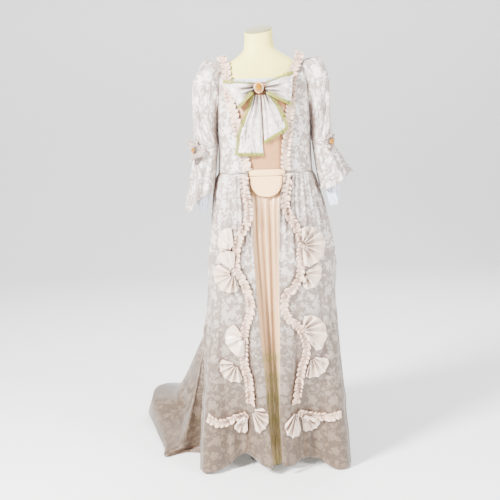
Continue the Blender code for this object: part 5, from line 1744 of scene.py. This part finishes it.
def ruffle_plan(path: tuple[Pair, ...], half_width: float, height: float, waves: int, seed: int,
                across: int = 10, per_wave: int = 10) -> np.ndarray:
    """Return the plan of a gathered strip with two free edges.

    Args:
        path: (across, up) knots.
        half_width: half width of the strip.
        height: height of its gathers.
        waves: number of gathers.
        seed: seed of their unevenness.
        across: cells across the strip.
        per_wave: cells along a gather.

    Returns:
        Plan of (across, up, height).
    """
    count = waves * per_wave + 1
    points, way = smooth_line(path, count)
    random = np.random.default_rng(seed)
    phase = np.linspace(0.0, 2.0 * np.pi * waves, count)
    phase = phase + 1.1 * np.sin(phase * 0.31 + seed) + 0.7 * np.sin(phase * 0.173 + 2.0 * seed)
    knots = np.linspace(0.0, count - 1, waves + 1)
    size = np.interp(np.arange(count), knots, random.uniform(0.45, 1.15, waves + 1))
    drift = np.interp(np.arange(count), knots, random.uniform(-1.0, 1.0, waves + 1))
    side = np.linspace(-1.0, 1.0, across + 1)
    free = ease((np.abs(side) - 0.10) / 0.75)
    lead = np.where(side > 0, 2.3, 0.0) + 0.6 * side + 0.9 * drift[:, None] * np.sign(side)
    wave = 0.5 + 0.5 * np.cos(phase[:, None] + lead)
    second = 0.5 + 0.5 * np.cos(2.0 * phase[:, None] + 1.3 + 1.7 * lead)
    lift = height * size[:, None] * free * (0.85 * (1.0 - (1.0 - wave) ** 1.6) + 0.15 * second)
    crown = 0.12 * height * (1.0 - free) * (1.0 + np.cos(2.0 * phase[:, None]))
    curl = 1.0 + 0.20 * np.sin(phase[:, None] + 0.8 + lead) + 0.14 * drift[:, None] * side
    wide = half_width * side * curl
    a = points[:, None, 0] - way[:, None, 1] * wide
    b = points[:, None, 1] + way[:, None, 0] * wide
    sway = 0.0040 * size[:, None] * free * np.sin(phase[:, None] + lead)
    return np.stack([a + way[:, None, 0] * sway, b + way[:, None, 1] * sway, lift + crown], axis=2)


def fan_plan(fan: FanSize, seed: int) -> np.ndarray:
    """Return the plan of a fan-pleated piece.

    Args:
        fan: its place and sizes.
        seed: seed of its unevenness.

    Returns:
        Plan of (across, up, height).
    """
    columns = fan.pleats * 14
    rows = 22
    t = np.linspace(0.0, 1.0, columns + 1)[None, :]
    r = np.linspace(0.0, 1.0, rows + 1)[:, None]
    random = np.random.default_rng(seed)
    uneven = t + 0.012 * np.sin(2.0 * np.pi * (1.7 * t + random.uniform())) * np.sin(np.pi * t)
    wave = 2.0 * np.pi * fan.pleats * uneven
    ridge = 0.5 - 0.5 * np.cos(wave)
    sharp = ridge**0.8
    angle = np.radians(fan.start + (fan.end - fan.start) * (t + 0.010 * r * np.sin(wave)))
    rounded = 0.80 + 0.20 * np.sin(np.pi * np.clip(t, 0.0, 1.0)) ** 0.5
    outer = fan.outer * rounded * (0.985 + 0.015 * ridge)
    outer = outer * (1.0 + 0.03 * np.sin(5.0 * t + random.uniform(0, 6.0)))
    outer = outer * (1.0 + (fan.tip / fan.outer - 1.0) * t)
    radius = fan.inner + (outer - fan.inner) * r
    curl = 0.006 * np.sin(2.0 * np.pi * (0.8 * t + random.uniform())) * r**2
    lift = 1.25 * fan.height * sharp * (0.25 + 0.75 * r**0.8) * (1.0 - 0.10 * ease((r - 0.85) / 0.15))
    lift = lift + np.maximum(curl, 0.0)
    lift = lift + 0.0016 * np.sin(2.0 * wave + 1.0) * r
    places = (fan.x + radius * np.cos(angle), fan.z + radius * np.sin(angle), lift)
    return np.stack(np.broadcast_arrays(*places), axis=2)


def tail_plan(table: Table) -> np.ndarray:
    """Return the plan of a hanging end of the bow.

    Args:
        table: outline of the tail.

    Returns:
        Plan of (across, up, height).
    """
    last = table.keys[-1]
    at = np.linspace(0, last, 60)
    left_x, left_z, right_x, right_z = [table.read(name, at)[:, None] for name in table.names[1:]]
    t = np.linspace(0, 1, 41)[None, :]
    down = at[:, None] / last
    widening = (t - 0.40 - 0.12 * down) / (0.08 + 0.09 * down)
    wave = 0.0110 * np.exp(-(widening**2)) * (1.0 - 0.35 * down)
    wave = wave + 0.0080 * np.exp(-(((t - 0.86) / 0.08) ** 2)) * (1.0 - 0.5 * down)
    wave = wave + 0.0060 * np.exp(-(((t - 0.12) / 0.07) ** 2)) * (1.0 - 0.4 * down)
    slanting = (t - 0.68 + 0.5 * (1.0 - down)) / 0.06
    wave = wave + 0.0040 * np.exp(-(slanting**2)) * ease((down - 0.45) / 0.4)
    small = 0.0012 * np.cos(2.0 * np.pi * t * 4.0 + 1.0 + 3.0 * down) * (1.0 - down)
    places = (left_x + (right_x - left_x) * t, left_z + (right_z - left_z) * t, wave + small + 0.0009)
    return np.stack(np.broadcast_arrays(*places), axis=2)


def make_loop(corners: tuple[Pair, ...], ground: Ground) -> np.ndarray:
    """Return a bow loop as a puffed open tube.

    Args:
        corners: places of the loop's ends at the knot and far from it.
        ground: what it lies on.

    Returns:
        Closed grid of points.
    """
    knot_low, knot_high, far_low, far_high = [np.array([x, z]) for x, z in corners]
    distance = np.concatenate([np.linspace(-0.06, 0.9, 34), np.linspace(0.92, 1.0, 8)])
    rows = []
    for share in np.linspace(0, 1, 34):
        near = knot_low + (knot_high - knot_low) * share
        far = far_low + (far_high - far_low) * share
        place = near + (far - near) * distance[:, None]
        level = []
        for a, b in place:
            found = [ground.height(a + i, b + j) for i, j in LOOP_FEELERS]
            found = [value for value in found if value is not None]
            level.append(max(found) if found else level[-1])
        level = np.convolve(np.pad(level, 4, mode="edge"), np.ones(9) / 9.0, mode="valid") + 0.0042
        puff = LOOP_PUFF * np.sin(np.pi * np.clip(distance, 0.0, 0.93)) ** 0.6 + 0.0022
        tuck = 0.0100 * np.cos(2.0 * np.pi * share * 2.2 + 0.6) * ease((1.0 - distance) / 0.8)
        fold = 0.0048 * np.cos(2.0 * np.pi * share * 4.0 + 1.0) * ease((0.85 - distance) / 0.6)
        front = np.stack([place[:, 0], -(level + 2.0 * puff + tuck + fold), place[:, 1]], axis=1)
        back = np.stack([place[:, 0], -level, place[:, 1]], axis=1)
        middle = (front[-1] + back[-1]) * 0.5
        bend = []
        for turn in np.linspace(0.25, 0.75, 3):
            around = math.pi * turn
            reach = 1.0 + 0.03 * math.sin(around)
            tip = near + (far - near) * reach
            side = (front[-1] - middle) * math.cos(around)
            bend.append([tip[0], middle[1] + side[1], tip[1]])
        rows.append(np.concatenate([front, np.array(bend), back[::-1]]))
    return np.array(rows)


@dataclass
class Workroom:
    """What the sub-assemblies share: the materials, and the grounds that trims lie on."""

    finishes: Finishes
    chest: Ground = field(default_factory=Ground)
    skirts: dict[int, Ground] = field(default_factory=lambda: {side: Ground() for side in SIDES})
    arms: dict[int, Ground] = field(default_factory=lambda: {
        -1: Ground((-0.205, -0.034, 1.122), (0.60, -0.80, 0.0)),
        1: Ground((0.2010, -0.020, 1.137), (0.925, 0.380, 0.0)),
    })

    def cloth(self, name: str, points: np.ndarray, finish: Finish, **options: object) -> Piece:
        """Build one piece of cloth."""
        return Cloth("cloth_" + name, points, finish, **options).build(self.finishes)

    def solid(self, name: str, mesh: bmesh.types.BMesh, finish: Finish, node: str,
              smooth: bool = True) -> Piece:
        """Args:
            name: name of the object.
            mesh: its shape, in heights above the drawing's level.
            finish: its finish.
            node: the node that it replaces.
            smooth: whether it is shaded smooth.

        Returns:
            The new object.
        """
        bmesh.ops.translate(mesh, verts=mesh.verts, vec=(0.0, 0.0, -FLOOR_Z))
        bmesh.ops.recalc_face_normals(mesh, faces=mesh.faces)
        for face in mesh.faces:
            face.smooth = smooth
        piece = finished_object(name, mesh, self.finishes[finish])
        declare(piece, finish, node)
        return piece

    def stone(self, name: str, ground: Ground, place: Pair, half: Pair, height: float,
              level: float, node: str) -> Piece:
        """Build a faceted stone on a ground.

        Args:
            name: name of the object.
            ground: what it lies on.
            place: its middle, across and up.
            half: its half width and half length.
            height: its height.
            level: how far out it starts.
            node: the node that it replaces.

        Returns:
            The new object.
        """
        rings = []
        for step, (size, rise) in enumerate(STONE_STEPS):
            ring = []
            for i in range(STONE_CORNERS):
                turn = 2.0 * math.pi * (i + 0.5 * (step % 2)) / STONE_CORNERS
                ring.append(ground.origin + ground.across * (place[0] + half[0] * size * math.cos(turn))
                            + ground.up * (place[1] + half[1] * size * math.sin(turn))
                            + ground.out * (level + height * rise))
            rings.append(ring)
        return self.solid(name, ring_solid(rings), Finish.AMBER, node, smooth=False)


@dataclass
class DressForm:
    """The limbless form, its neck cap and its stand.

    The steps of the cap are the size and rise of each of its rings.
    """

    room: Workroom
    base_radius: float = 0.088
    pole_radius: float = 0.016
    collar_bone_z: float = 1.381
    cap_steps: tuple = ((0.92, 0.0004), (0.95, 0.0012), (0.96, 0.0028), (0.94, 0.0044), (0.86, 0.0052))

    def build(self) -> None:
        """Build the three pieces."""
        degrees = np.linspace(0.0, 360.0, 97)[:-1]
        self.build_torso(degrees)
        self.build_cap(degrees)
        self.build_stand()

    def build_torso(self, degrees: np.ndarray) -> None:
        """Build the torso with its collar bones and the notch between them.

        Args:
            degrees: directions of the points of a ring.
        """
        rings = []
        for height in np.linspace(FORM_BOTTOM_Z, FORM_TOP_Z, 110):
            ring = torso(FORM, degrees, np.full_like(degrees, height))
            reach = np.abs(ring[:, 0])
            level = height - (self.collar_bone_z + 0.22 * np.maximum(reach - 0.012, 0.0))
            bone = np.exp(-((level / 0.006) ** 2)) * ease((reach - 0.006) / 0.012)
            bone = bone * ease((0.10 - reach) / 0.05)
            notch = np.exp(-((level / 0.010) ** 2) - (reach / 0.009) ** 2)
            ring[:, 1] -= np.where(ring[:, 1] < 0.0, 0.0030 * bone - 0.0030 * notch, 0.0)
            ring[:, 2] += neck_cut(ring, height)
            ring[:, 0] += NECK_LEAN * float(ease((height - 1.416) / 0.055))
            rings.append(ring)
        self.room.solid("form", ring_solid(rings), Finish.FORM, "form_torso")

    def build_cap(self, degrees: np.ndarray) -> None:
        """Build the flat cap on the sloping cut of the neck.

        Args:
            degrees: directions of the points of a ring.
        """
        top = torso(FORM, degrees, np.full_like(degrees, FORM_TOP_Z))
        caps = []
        for size, rise in self.cap_steps:
            ring = top * np.array([size, size, 1.0])
            ring[:, 2] = FORM_TOP_Z + neck_cut(ring, FORM_TOP_Z) + rise
            ring[:, 0] += NECK_LEAN
            caps.append(ring)
        self.room.solid("cap", ring_solid(caps), Finish.CAP, "neck_cap")

    def build_stand(self) -> None:
        """Build the round base and the pole."""
        base = self.base_radius
        profile = ((base - 0.003, FLOOR_Z), (base, FLOOR_Z + 0.003), (base, FLOOR_Z + 0.009),
                   (base - 0.004, FLOOR_Z + 0.012), (0.040, FLOOR_Z + 0.015), (0.026, FLOOR_Z + 0.026),
                   (self.pole_radius, FLOOR_Z + 0.045), (self.pole_radius, FORM_BOTTOM_Z - 0.0005))
        angle = turns(48)
        rings = [np.stack([r * np.cos(angle), r * np.sin(angle), np.full_like(angle, z)], axis=1)
                 for r, z in profile]
        self.room.solid("stand_metal", ring_solid(rings), Finish.STEEL, "stand")


@dataclass
class Gown:
    """The stomacher, bodice, skirt fronts, sack back, petticoat and waist."""

    room: Workroom
    band_low: float = 1.0310
    band_high: float = 1.0530
    tab_top: float = 1.0306
    tab_bottom: float = 0.9640
    tab_half: float = 0.0500

    def build(self) -> None:
        """Build the pieces in the order in which they are laid on."""
        room = self.room
        stomacher = make_stomacher()
        room.chest.add(stomacher)
        room.cloth("stomacher", stomacher, Finish.SATIN, front=True, held="stretched", rests_on=("form",))
        for side, word in SIDES.items():
            front = make_bodice(side, True)
            room.chest.add(front)
            room.cloth("bodice_front_" + word, front, Finish.DAMASK, held="stretched", rests_on=("form",))
            room.cloth("bodice_back_" + word, make_bodice(side, False), Finish.DAMASK, held="stretched",
                       rests_on=("form",))
            skirt = make_skirt(side)
            room.skirts[side].add(skirt)
            room.cloth("skirt_" + word, skirt, Finish.DAMASK, held="gathered",
                       rests_on=("cloth_bodice_front_" + word,))
        room.cloth("sack_back", make_sack(), Finish.TRAIN, held="draped", rests_on=("form",))
        room.cloth("petticoat", make_petticoat(), Finish.PETTICOAT, closed=True, held="gathered",
                   rests_on=("form",))
        self.build_band()
        self.build_tab()

    def build_band(self) -> None:
        """Build the waist band."""
        heights = np.linspace(self.band_low, self.band_high, 8)[:, None]
        x = np.linspace(-0.054, 0.062, 56)[None, :]
        level = np.maximum(heights, WAIST_Z + 0.0004) + 0.0 * x
        band = torso(BODICE, bodice_degrees(x, level) * np.sign(x), level, 0.0026)
        band[:, :, 2] = heights + 0.0 * x
        share = (heights - self.band_low) / (self.band_high - self.band_low)
        band[:, :, 1] -= 0.0006 * np.sin(np.pi * share)
        self.room.cloth("waist_band", band, Finish.CREAM, front=True, held="stretched",
                        rests_on=("cloth_stomacher",))

    def build_tab(self) -> None:
        """Build the rounded tab below the waist band."""
        share = np.linspace(0, 1, 44)
        z = self.tab_top + (self.tab_bottom - self.tab_top) * np.sin(share * np.pi / 2.0)
        drop = (self.tab_top - z) / (self.tab_top - self.tab_bottom)
        wide = self.tab_half * np.maximum(1.0 - drop**2.6, 0.0) ** 0.5 + 0.004
        x = wide[:, None] * np.linspace(-1, 1, 41)[None, :]
        forward = 0.1324 + 0.006 * drop[:, None] - 0.22 * x * x
        tab = np.stack([x + 0.001, -forward, z[:, None] + 0.0 * x], axis=2)
        self.room.cloth("stomacher_tab", tab, Finish.CREAM, front=True, rests_on=("cloth_waist_band",))


@dataclass
class Arms:
    """The sleeves, flounces, lace frills and elbow bows."""

    room: Workroom
    gem_half: float = 0.0085
    gem_height: float = 0.0062
    bow_heart: float = 0.007

    def build(self) -> None:
        """Build both arms."""
        for side, word in SIDES.items():
            ground = self.room.arms[side]
            upper = ("cloth_bodice_front_" + word,)
            sleeve = make_sleeve(side)
            ground.add(sleeve, closed=True)
            self.room.cloth("sleeve_" + word, sleeve, Finish.DAMASK, closed=True, rests_on=upper)
            held = {"closed": True, "held": "gathered", "rests_on": ("cloth_sleeve_" + word,)}
            flounce = make_frill(side, FLOUNCES[side], 0.0, ELBOW_Z, 9, 0.0052)
            ground.add(flounce, closed=True)
            self.room.cloth("flounce_" + word, flounce, Finish.DAMASK, **held)
            lace = make_frill(side, LACES[side], 0.0026, ELBOW_Z - 0.001, 16, 0.0026)
            self.room.cloth("lace_frill_" + word, lace, Finish.LACE, thickness=0.0008, **held)
            points = ground.lay(self.bow_plan(side), 0.003)
            self.room.cloth("elbow_bow_" + word, points, Finish.EARS, thickness=0.0009, **held)
            reach = (points[:4] - np.array(ground.origin)) @ np.array(ground.out)
            level = max(float(np.max(reach)) - 0.002, 0.0)
            self.room.stone("gem_" + word, ground, (0.0, 0.0), (self.gem_half, self.gem_half),
                            self.gem_height, level, "elbow_gem_" + word)

    def bow_plan(self, side: int) -> np.ndarray:
        """Plan the pleated bow at one elbow.

        Args:
            side: which arm.

        Returns:
            Plan of (across, up, height).
        """
        wide, tall, turn, ear = ELBOW_BOWS[side]
        angle = turns(120)[None, :]
        share = np.linspace(0.0, 1.0, 12)[:, None]
        lobe = np.abs(np.cos(angle - turn))
        radius = self.bow_heart + share * (wide - self.bow_heart) * (0.42 + 0.58 * lobe)
        squeeze = 1.0 + (tall / wide - 1.0) * share
        pleat = 0.5 - 0.5 * np.cos(10.0 * angle)
        lift = 0.0085 * pleat * (0.3 + 0.7 * share) + 0.003 * np.sin(np.pi * share)
        lift = lift + ear * lobe**3 * share**1.5
        places = (radius * np.cos(angle), radius * np.sin(angle) * squeeze, lift)
        return np.stack(np.broadcast_arrays(*places), axis=2)


@dataclass
class Trims:
    """The robings, serpentines, hem frills, fans and the lace of the neckline."""

    room: Workroom
    robing_heights: tuple = (1.049, 1.10, 1.19, 1.25, 1.30, 1.346, 1.375)
    lace_left: float = -0.099
    lace_width: float = 0.172

    def build(self) -> None:
        """Build the trims of both sides, then the lace."""
        for side, word in SIDES.items():
            self.build_robing(side, word)
            self.build_skirt_trims(side, word)
        line = [(self.lace_left + self.lace_width * i / 6.0, NECKLINE_Z - 0.003) for i in range(7)]
        points = self.room.chest.lay(ruffle_plan(line, 0.0058, 0.0030, 16, 51, 6, 8), 0.002)
        self.room.cloth("neck_lace", points, Finish.LACE, front=True, held="gathered", thickness=0.0008,
                        rests_on=("cloth_stomacher",))

    def build_robing(self, side: int, word: str) -> None:
        """Build the gathered strip from the waist over one shoulder.

        Args:
            side: which side.
            word: its name.
        """
        line = [(side * float(ROBING_LINE.read(word, z)), z) for z in self.robing_heights]
        line += list(ROBING_PUFFS[side])
        points = self.room.chest.lay(ruffle_plan(line, 0.0140, 0.0120, 24, 21 + side), 0.003, 1)
        self.room.chest.add(points)
        self.room.cloth("robing_" + word, points, Finish.PEACH, front=True, held="gathered",
                        rests_on=("cloth_bodice_front_" + word,))

    def build_skirt_trims(self, side: int, word: str) -> None:
        """Build the serpentine, the hem frill and the fans of one skirt front.

        Args:
            side: which side.
            word: its name.
        """
        ground = self.room.skirts[side]
        skirt = ("cloth_skirt_" + word,)
        laid = []
        for name, path, waves, seed in (("serpentine_", SERPENTINES[side], 48, 31),
                                        ("hem_frill_", HEM_FRILLS[side], 9, 41)):
            points = ground.lay(ruffle_plan(path, 0.0125, 0.0120, waves, seed + side), 0.003, 1)
            laid.append(points)
            self.room.cloth(name + word, points, Finish.PEACH, front=True, held="gathered", rests_on=skirt)
        for points in laid:
            ground.add(points)
        for number, fan in enumerate(fan for fan in FANS if word in fan.name):
            points = ground.lay(fan_plan(fan, number), 0.006, 6)
            ground.add(points)
            self.room.cloth(fan.name, points, Finish.FAN, front=True, held="folded", rests_on=skirt)


@dataclass
class Bow:
    """The large bow on the stomacher, its beaded edging and its brooch.

    Each row of beads has its distance from the edge and the radius of a bead.
    """

    room: Workroom
    bead_step: float = 0.0034
    bead_rows: tuple = ((0.0, 0.0024), (0.0036, 0.0022), (0.0068, 0.0018), (0.0094, 0.0013))
    middle: Triple = (-0.012, 0.0, 1.25)

    def build(self) -> None:
        """Build the tails, the loops over them, and the brooch."""
        chest = self.room.chest
        resting = ("cloth_stomacher",)
        for name, table in TAILS.items():
            points = chest.lay(tail_plan(table), 0.010, 6, 0.0030)
            self.room.cloth("bow_tail_" + name, points, Finish.BOW, front=True, rests_on=resting)
            outer, lower = (0, points[-1]) if name == "left" else (-1, points[-1, ::-1])
            self.build_edging("tail_" + name, np.concatenate([points[:, outer], lower]))
        for name, corners in LOOPS.items():
            points = make_loop(corners, chest)
            self.room.cloth("bow_loop_" + name, points, Finish.BOW, closed=True, held="folded",
                            rests_on=resting)
            for edge, row in (("low", 0), ("top", -1)):
                self.build_edging("loop_%s_%s" % (name, edge), points[row, 2:44])
        self.build_brooch()

    def build_edging(self, name: str, line: np.ndarray) -> None:
        """Build rows of beads along an edge.

        Args:
            name: name of the edge.
            line: points along it.
        """
        travel = travelled(line)
        count = max(int(travel[-1] / self.bead_step), 6)
        at = np.linspace(0.0, travel[-1], count)
        places = np.stack([np.interp(at, travel, line[:, i]) for i in range(3)], axis=1)
        mesh = bmesh.new()
        random = np.random.default_rng(len(name) * 7 + count)
        for row, (drop, size) in enumerate(self.bead_rows):
            for i, place in enumerate(places):
                nearby = places[min(i + 1, count - 1)] - places[max(i - 1, 0)]
                sideways = np.array([nearby[2], 0.0, -nearby[0]])
                length = np.linalg.norm(sideways)
                if length < 1e-9:
                    continue
                sideways /= length
                if np.dot(sideways, place - np.array(self.middle)) < 0.0:
                    sideways = -sideways
                jitter = random.uniform(-0.0004, 0.0004, 3) * (1.0 + 1.2 * row)
                spot = place + sideways * (drop - 0.002) + jitter + np.array([0.0, -0.0016, 0.0])
                bmesh.ops.create_icosphere(mesh, subdivisions=1, radius=size,
                                           matrix=Matrix.Translation(Vector(spot)))
        self.room.solid("edging_beads_" + name, mesh, Finish.LIME, "edging_" + name)

    def build_brooch(self) -> None:
        """Build the knot, the gold setting with its beads, and the amber stone."""
        low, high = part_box("bow_knot")
        self.build_pad("knot", (0.0170, 0.0172), (-high.y - 0.0005, -low.y), Finish.BOW, "bow_knot")
        low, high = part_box("brooch_setting")
        self.build_pad("setting", (0.0140, 0.0185), (-high.y, -low.y - 0.002), Finish.GOLD,
                       "brooch_setting")
        beads = bmesh.new()
        for i in range(26):
            turn = 2.0 * math.pi * i / 26
            spot = Vector((KNOT[0] + 0.0122 * math.cos(turn), low.y + 0.0022,
                           KNOT[1] + 0.0166 * math.sin(turn)))
            bmesh.ops.create_icosphere(beads, subdivisions=2, radius=0.0017, matrix=Matrix.Translation(spot))
        self.room.solid("setting_beads", beads, Finish.GOLD, "brooch_setting")
        low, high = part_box("brooch_stone")
        self.room.stone("amber_stone", self.room.chest, KNOT, (0.0092, 0.0134), high.y - low.y, -high.y,
                        "brooch_stone")

    def build_pad(self, name: str, half: Pair, depth: Pair, finish: Finish, node: str) -> None:
        """Build a rounded oval solid at the knot.

        Args:
            name: name of the object.
            half: half width and half length.
            depth: how far in front of the chest's middle it starts and ends.
            finish: its finish.
            node: the node that it replaces.
        """
        rings = []
        for turn in np.linspace(0.06, 0.98, 10):
            size = 0.90 + 0.20 * turn if turn < 0.5 else math.sin(math.pi * (0.5 + (turn - 0.5) * 0.96))
            rise = depth[0] + (depth[1] - depth[0]) * turn
            ring = []
            for i in range(48):
                around = 2.0 * math.pi * i / 48
                ring.append(Vector((KNOT[0] + half[0] * size * math.cos(around), -rise,
                                    KNOT[1] + half[1] * size * math.sin(around))))
            rings.append(ring)
        self.room.solid(name, ring_solid(rings), finish, node)


@dataclass(frozen=True)
class Shot:
    """The camera: its place in metres, aim in radians, and focal length in pixels."""

    x: float = -0.0272
    distance: float = 3.0
    height: float = 1.1372 - FLOOR_Z
    pitch: float = 0.1207
    yaw: float = -0.0114
    roll: float = 0.0322
    pixels: float = 874.4
    picture: float = 500.0
    sensor: float = 36.0

    def build(self) -> Piece:
        """Place the camera of the scene.

        Returns:
            The camera.
        """
        data = bpy.data.cameras.new("shot")
        data.sensor_width = self.sensor
        data.lens = self.pixels / self.picture * self.sensor
        data.clip_end = 60.0
        camera = bpy.data.objects.new("shot", data)
        bpy.context.scene.collection.objects.link(camera)
        flat = Vector((math.sin(self.yaw), math.cos(self.yaw), 0.0))
        right = Vector((math.cos(self.yaw), -math.sin(self.yaw), 0.0))
        ahead = flat * math.cos(self.pitch) - Vector((0.0, 0.0, math.sin(self.pitch)))
        up = flat * math.sin(self.pitch) + Vector((0.0, 0.0, math.cos(self.pitch)))
        level_right = right * math.cos(self.roll) - up * math.sin(self.roll)
        level_up = right * math.sin(self.roll) + up * math.cos(self.roll)
        matrix = Matrix((level_right, level_up, -ahead)).transposed().to_4x4()
        matrix.translation = Vector((self.x, -self.distance, self.height))
        camera.matrix_world = matrix
        bpy.context.scene.camera = camera
        return camera


def make_light(name: str, place: Triple, aim: Triple, size: Pair, power: float,
               colour: Triple = (1.0, 1.0, 1.0)) -> Piece:
    """Add one soft studio light.

    Args:
        name: name of the light.
        place: where it stands.
        aim: what it looks at.
        size: width and height of its pane.
        power: power in watts.
        colour: its colour.

    Returns:
        The light.
    """
    data = bpy.data.lights.new(name, "AREA")
    data.shape = "RECTANGLE"
    data.size = size[0]
    data.size_y = size[1]
    data.energy = power
    data.color = colour
    light = bpy.data.objects.new(name, data)
    bpy.context.scene.collection.objects.link(light)
    light.location = place
    way = Vector(aim) - Vector(place)
    light.rotation_euler = way.to_track_quat("-Z", "Y").to_euler()
    return light


SWEEP_START = 4.5
SWEEP_RADIUS = 2.5
SWEEP_REACH = 7.0
SWEEP_HALF_WIDTH = 14.0
WORLD_LIGHT = 0.46
WORLD_SEEN = 6.5


def make_studio() -> None:
    """Add the pale floor, the soft lights and the world."""
    mesh = bmesh.new()
    profile = [(-SWEEP_REACH, 0.0), (SWEEP_START, 0.0)]
    for turn in np.linspace(0.0, np.pi / 2.0, 25)[1:]:
        profile.append((SWEEP_START + SWEEP_RADIUS * math.sin(turn),
                        SWEEP_RADIUS * (1.0 - math.cos(turn))))
    profile.append((SWEEP_START + SWEEP_RADIUS, SWEEP_REACH))
    rows = [[mesh.verts.new((x, y, z)) for x in (-SWEEP_HALF_WIDTH, SWEEP_HALF_WIDTH)]
            for y, z in profile]
    for near, far in zip(rows, rows[1:]):
        mesh.faces.new((near[0], near[1], far[1], far[0])).smooth = True
    material = Plain("studio_floor", "FAFAFA", 0.9, lift=0.22).build()
    floor = finished_object("studio_floor", mesh, material)
    make_light("key", (-2.7, -2.7, 3.0), (0.0, 0.0, 1.0), (1.0, 1.0), 980.0, (1.0, 0.99, 0.975))
    make_light("fill", (2.6, -2.6, 2.0), (0.0, 0.0, 0.9), (1.4, 1.4), 230.0, (0.98, 0.99, 1.0))
    make_light("back", (0.8, 3.0, 3.6), (0.0, 0.4, 0.6), (3.5, 2.0), 200.0)
    world = bpy.data.worlds.new("studio")
    bpy.context.scene.world = world
    world.use_nodes = True
    tree = world.node_tree
    seen = tree.nodes.new("ShaderNodeLightPath").outputs["Is Camera Ray"]
    strength = tree.nodes.new("ShaderNodeMapRange")
    strength.inputs["To Min"].default_value = WORLD_LIGHT
    strength.inputs["To Max"].default_value = WORLD_SEEN
    background = tree.nodes["Background"]
    background.inputs["Color"].default_value = (1.0, 1.0, 1.0, 1.0)
    tree.links.new(seen, strength.inputs["Value"])
    tree.links.new(strength.outputs["Result"], background.inputs["Strength"])


def main() -> None:
    """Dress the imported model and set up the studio."""
    logging.basicConfig(level=logging.INFO, format="%(message)s")
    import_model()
    room = Workroom(make_finishes())
    for assembly in (DressForm, Gown, Arms, Trims, Bow):
        assembly(room).build()
    make_studio()
    Shot().build()


if __name__ == "__main__":
    main()
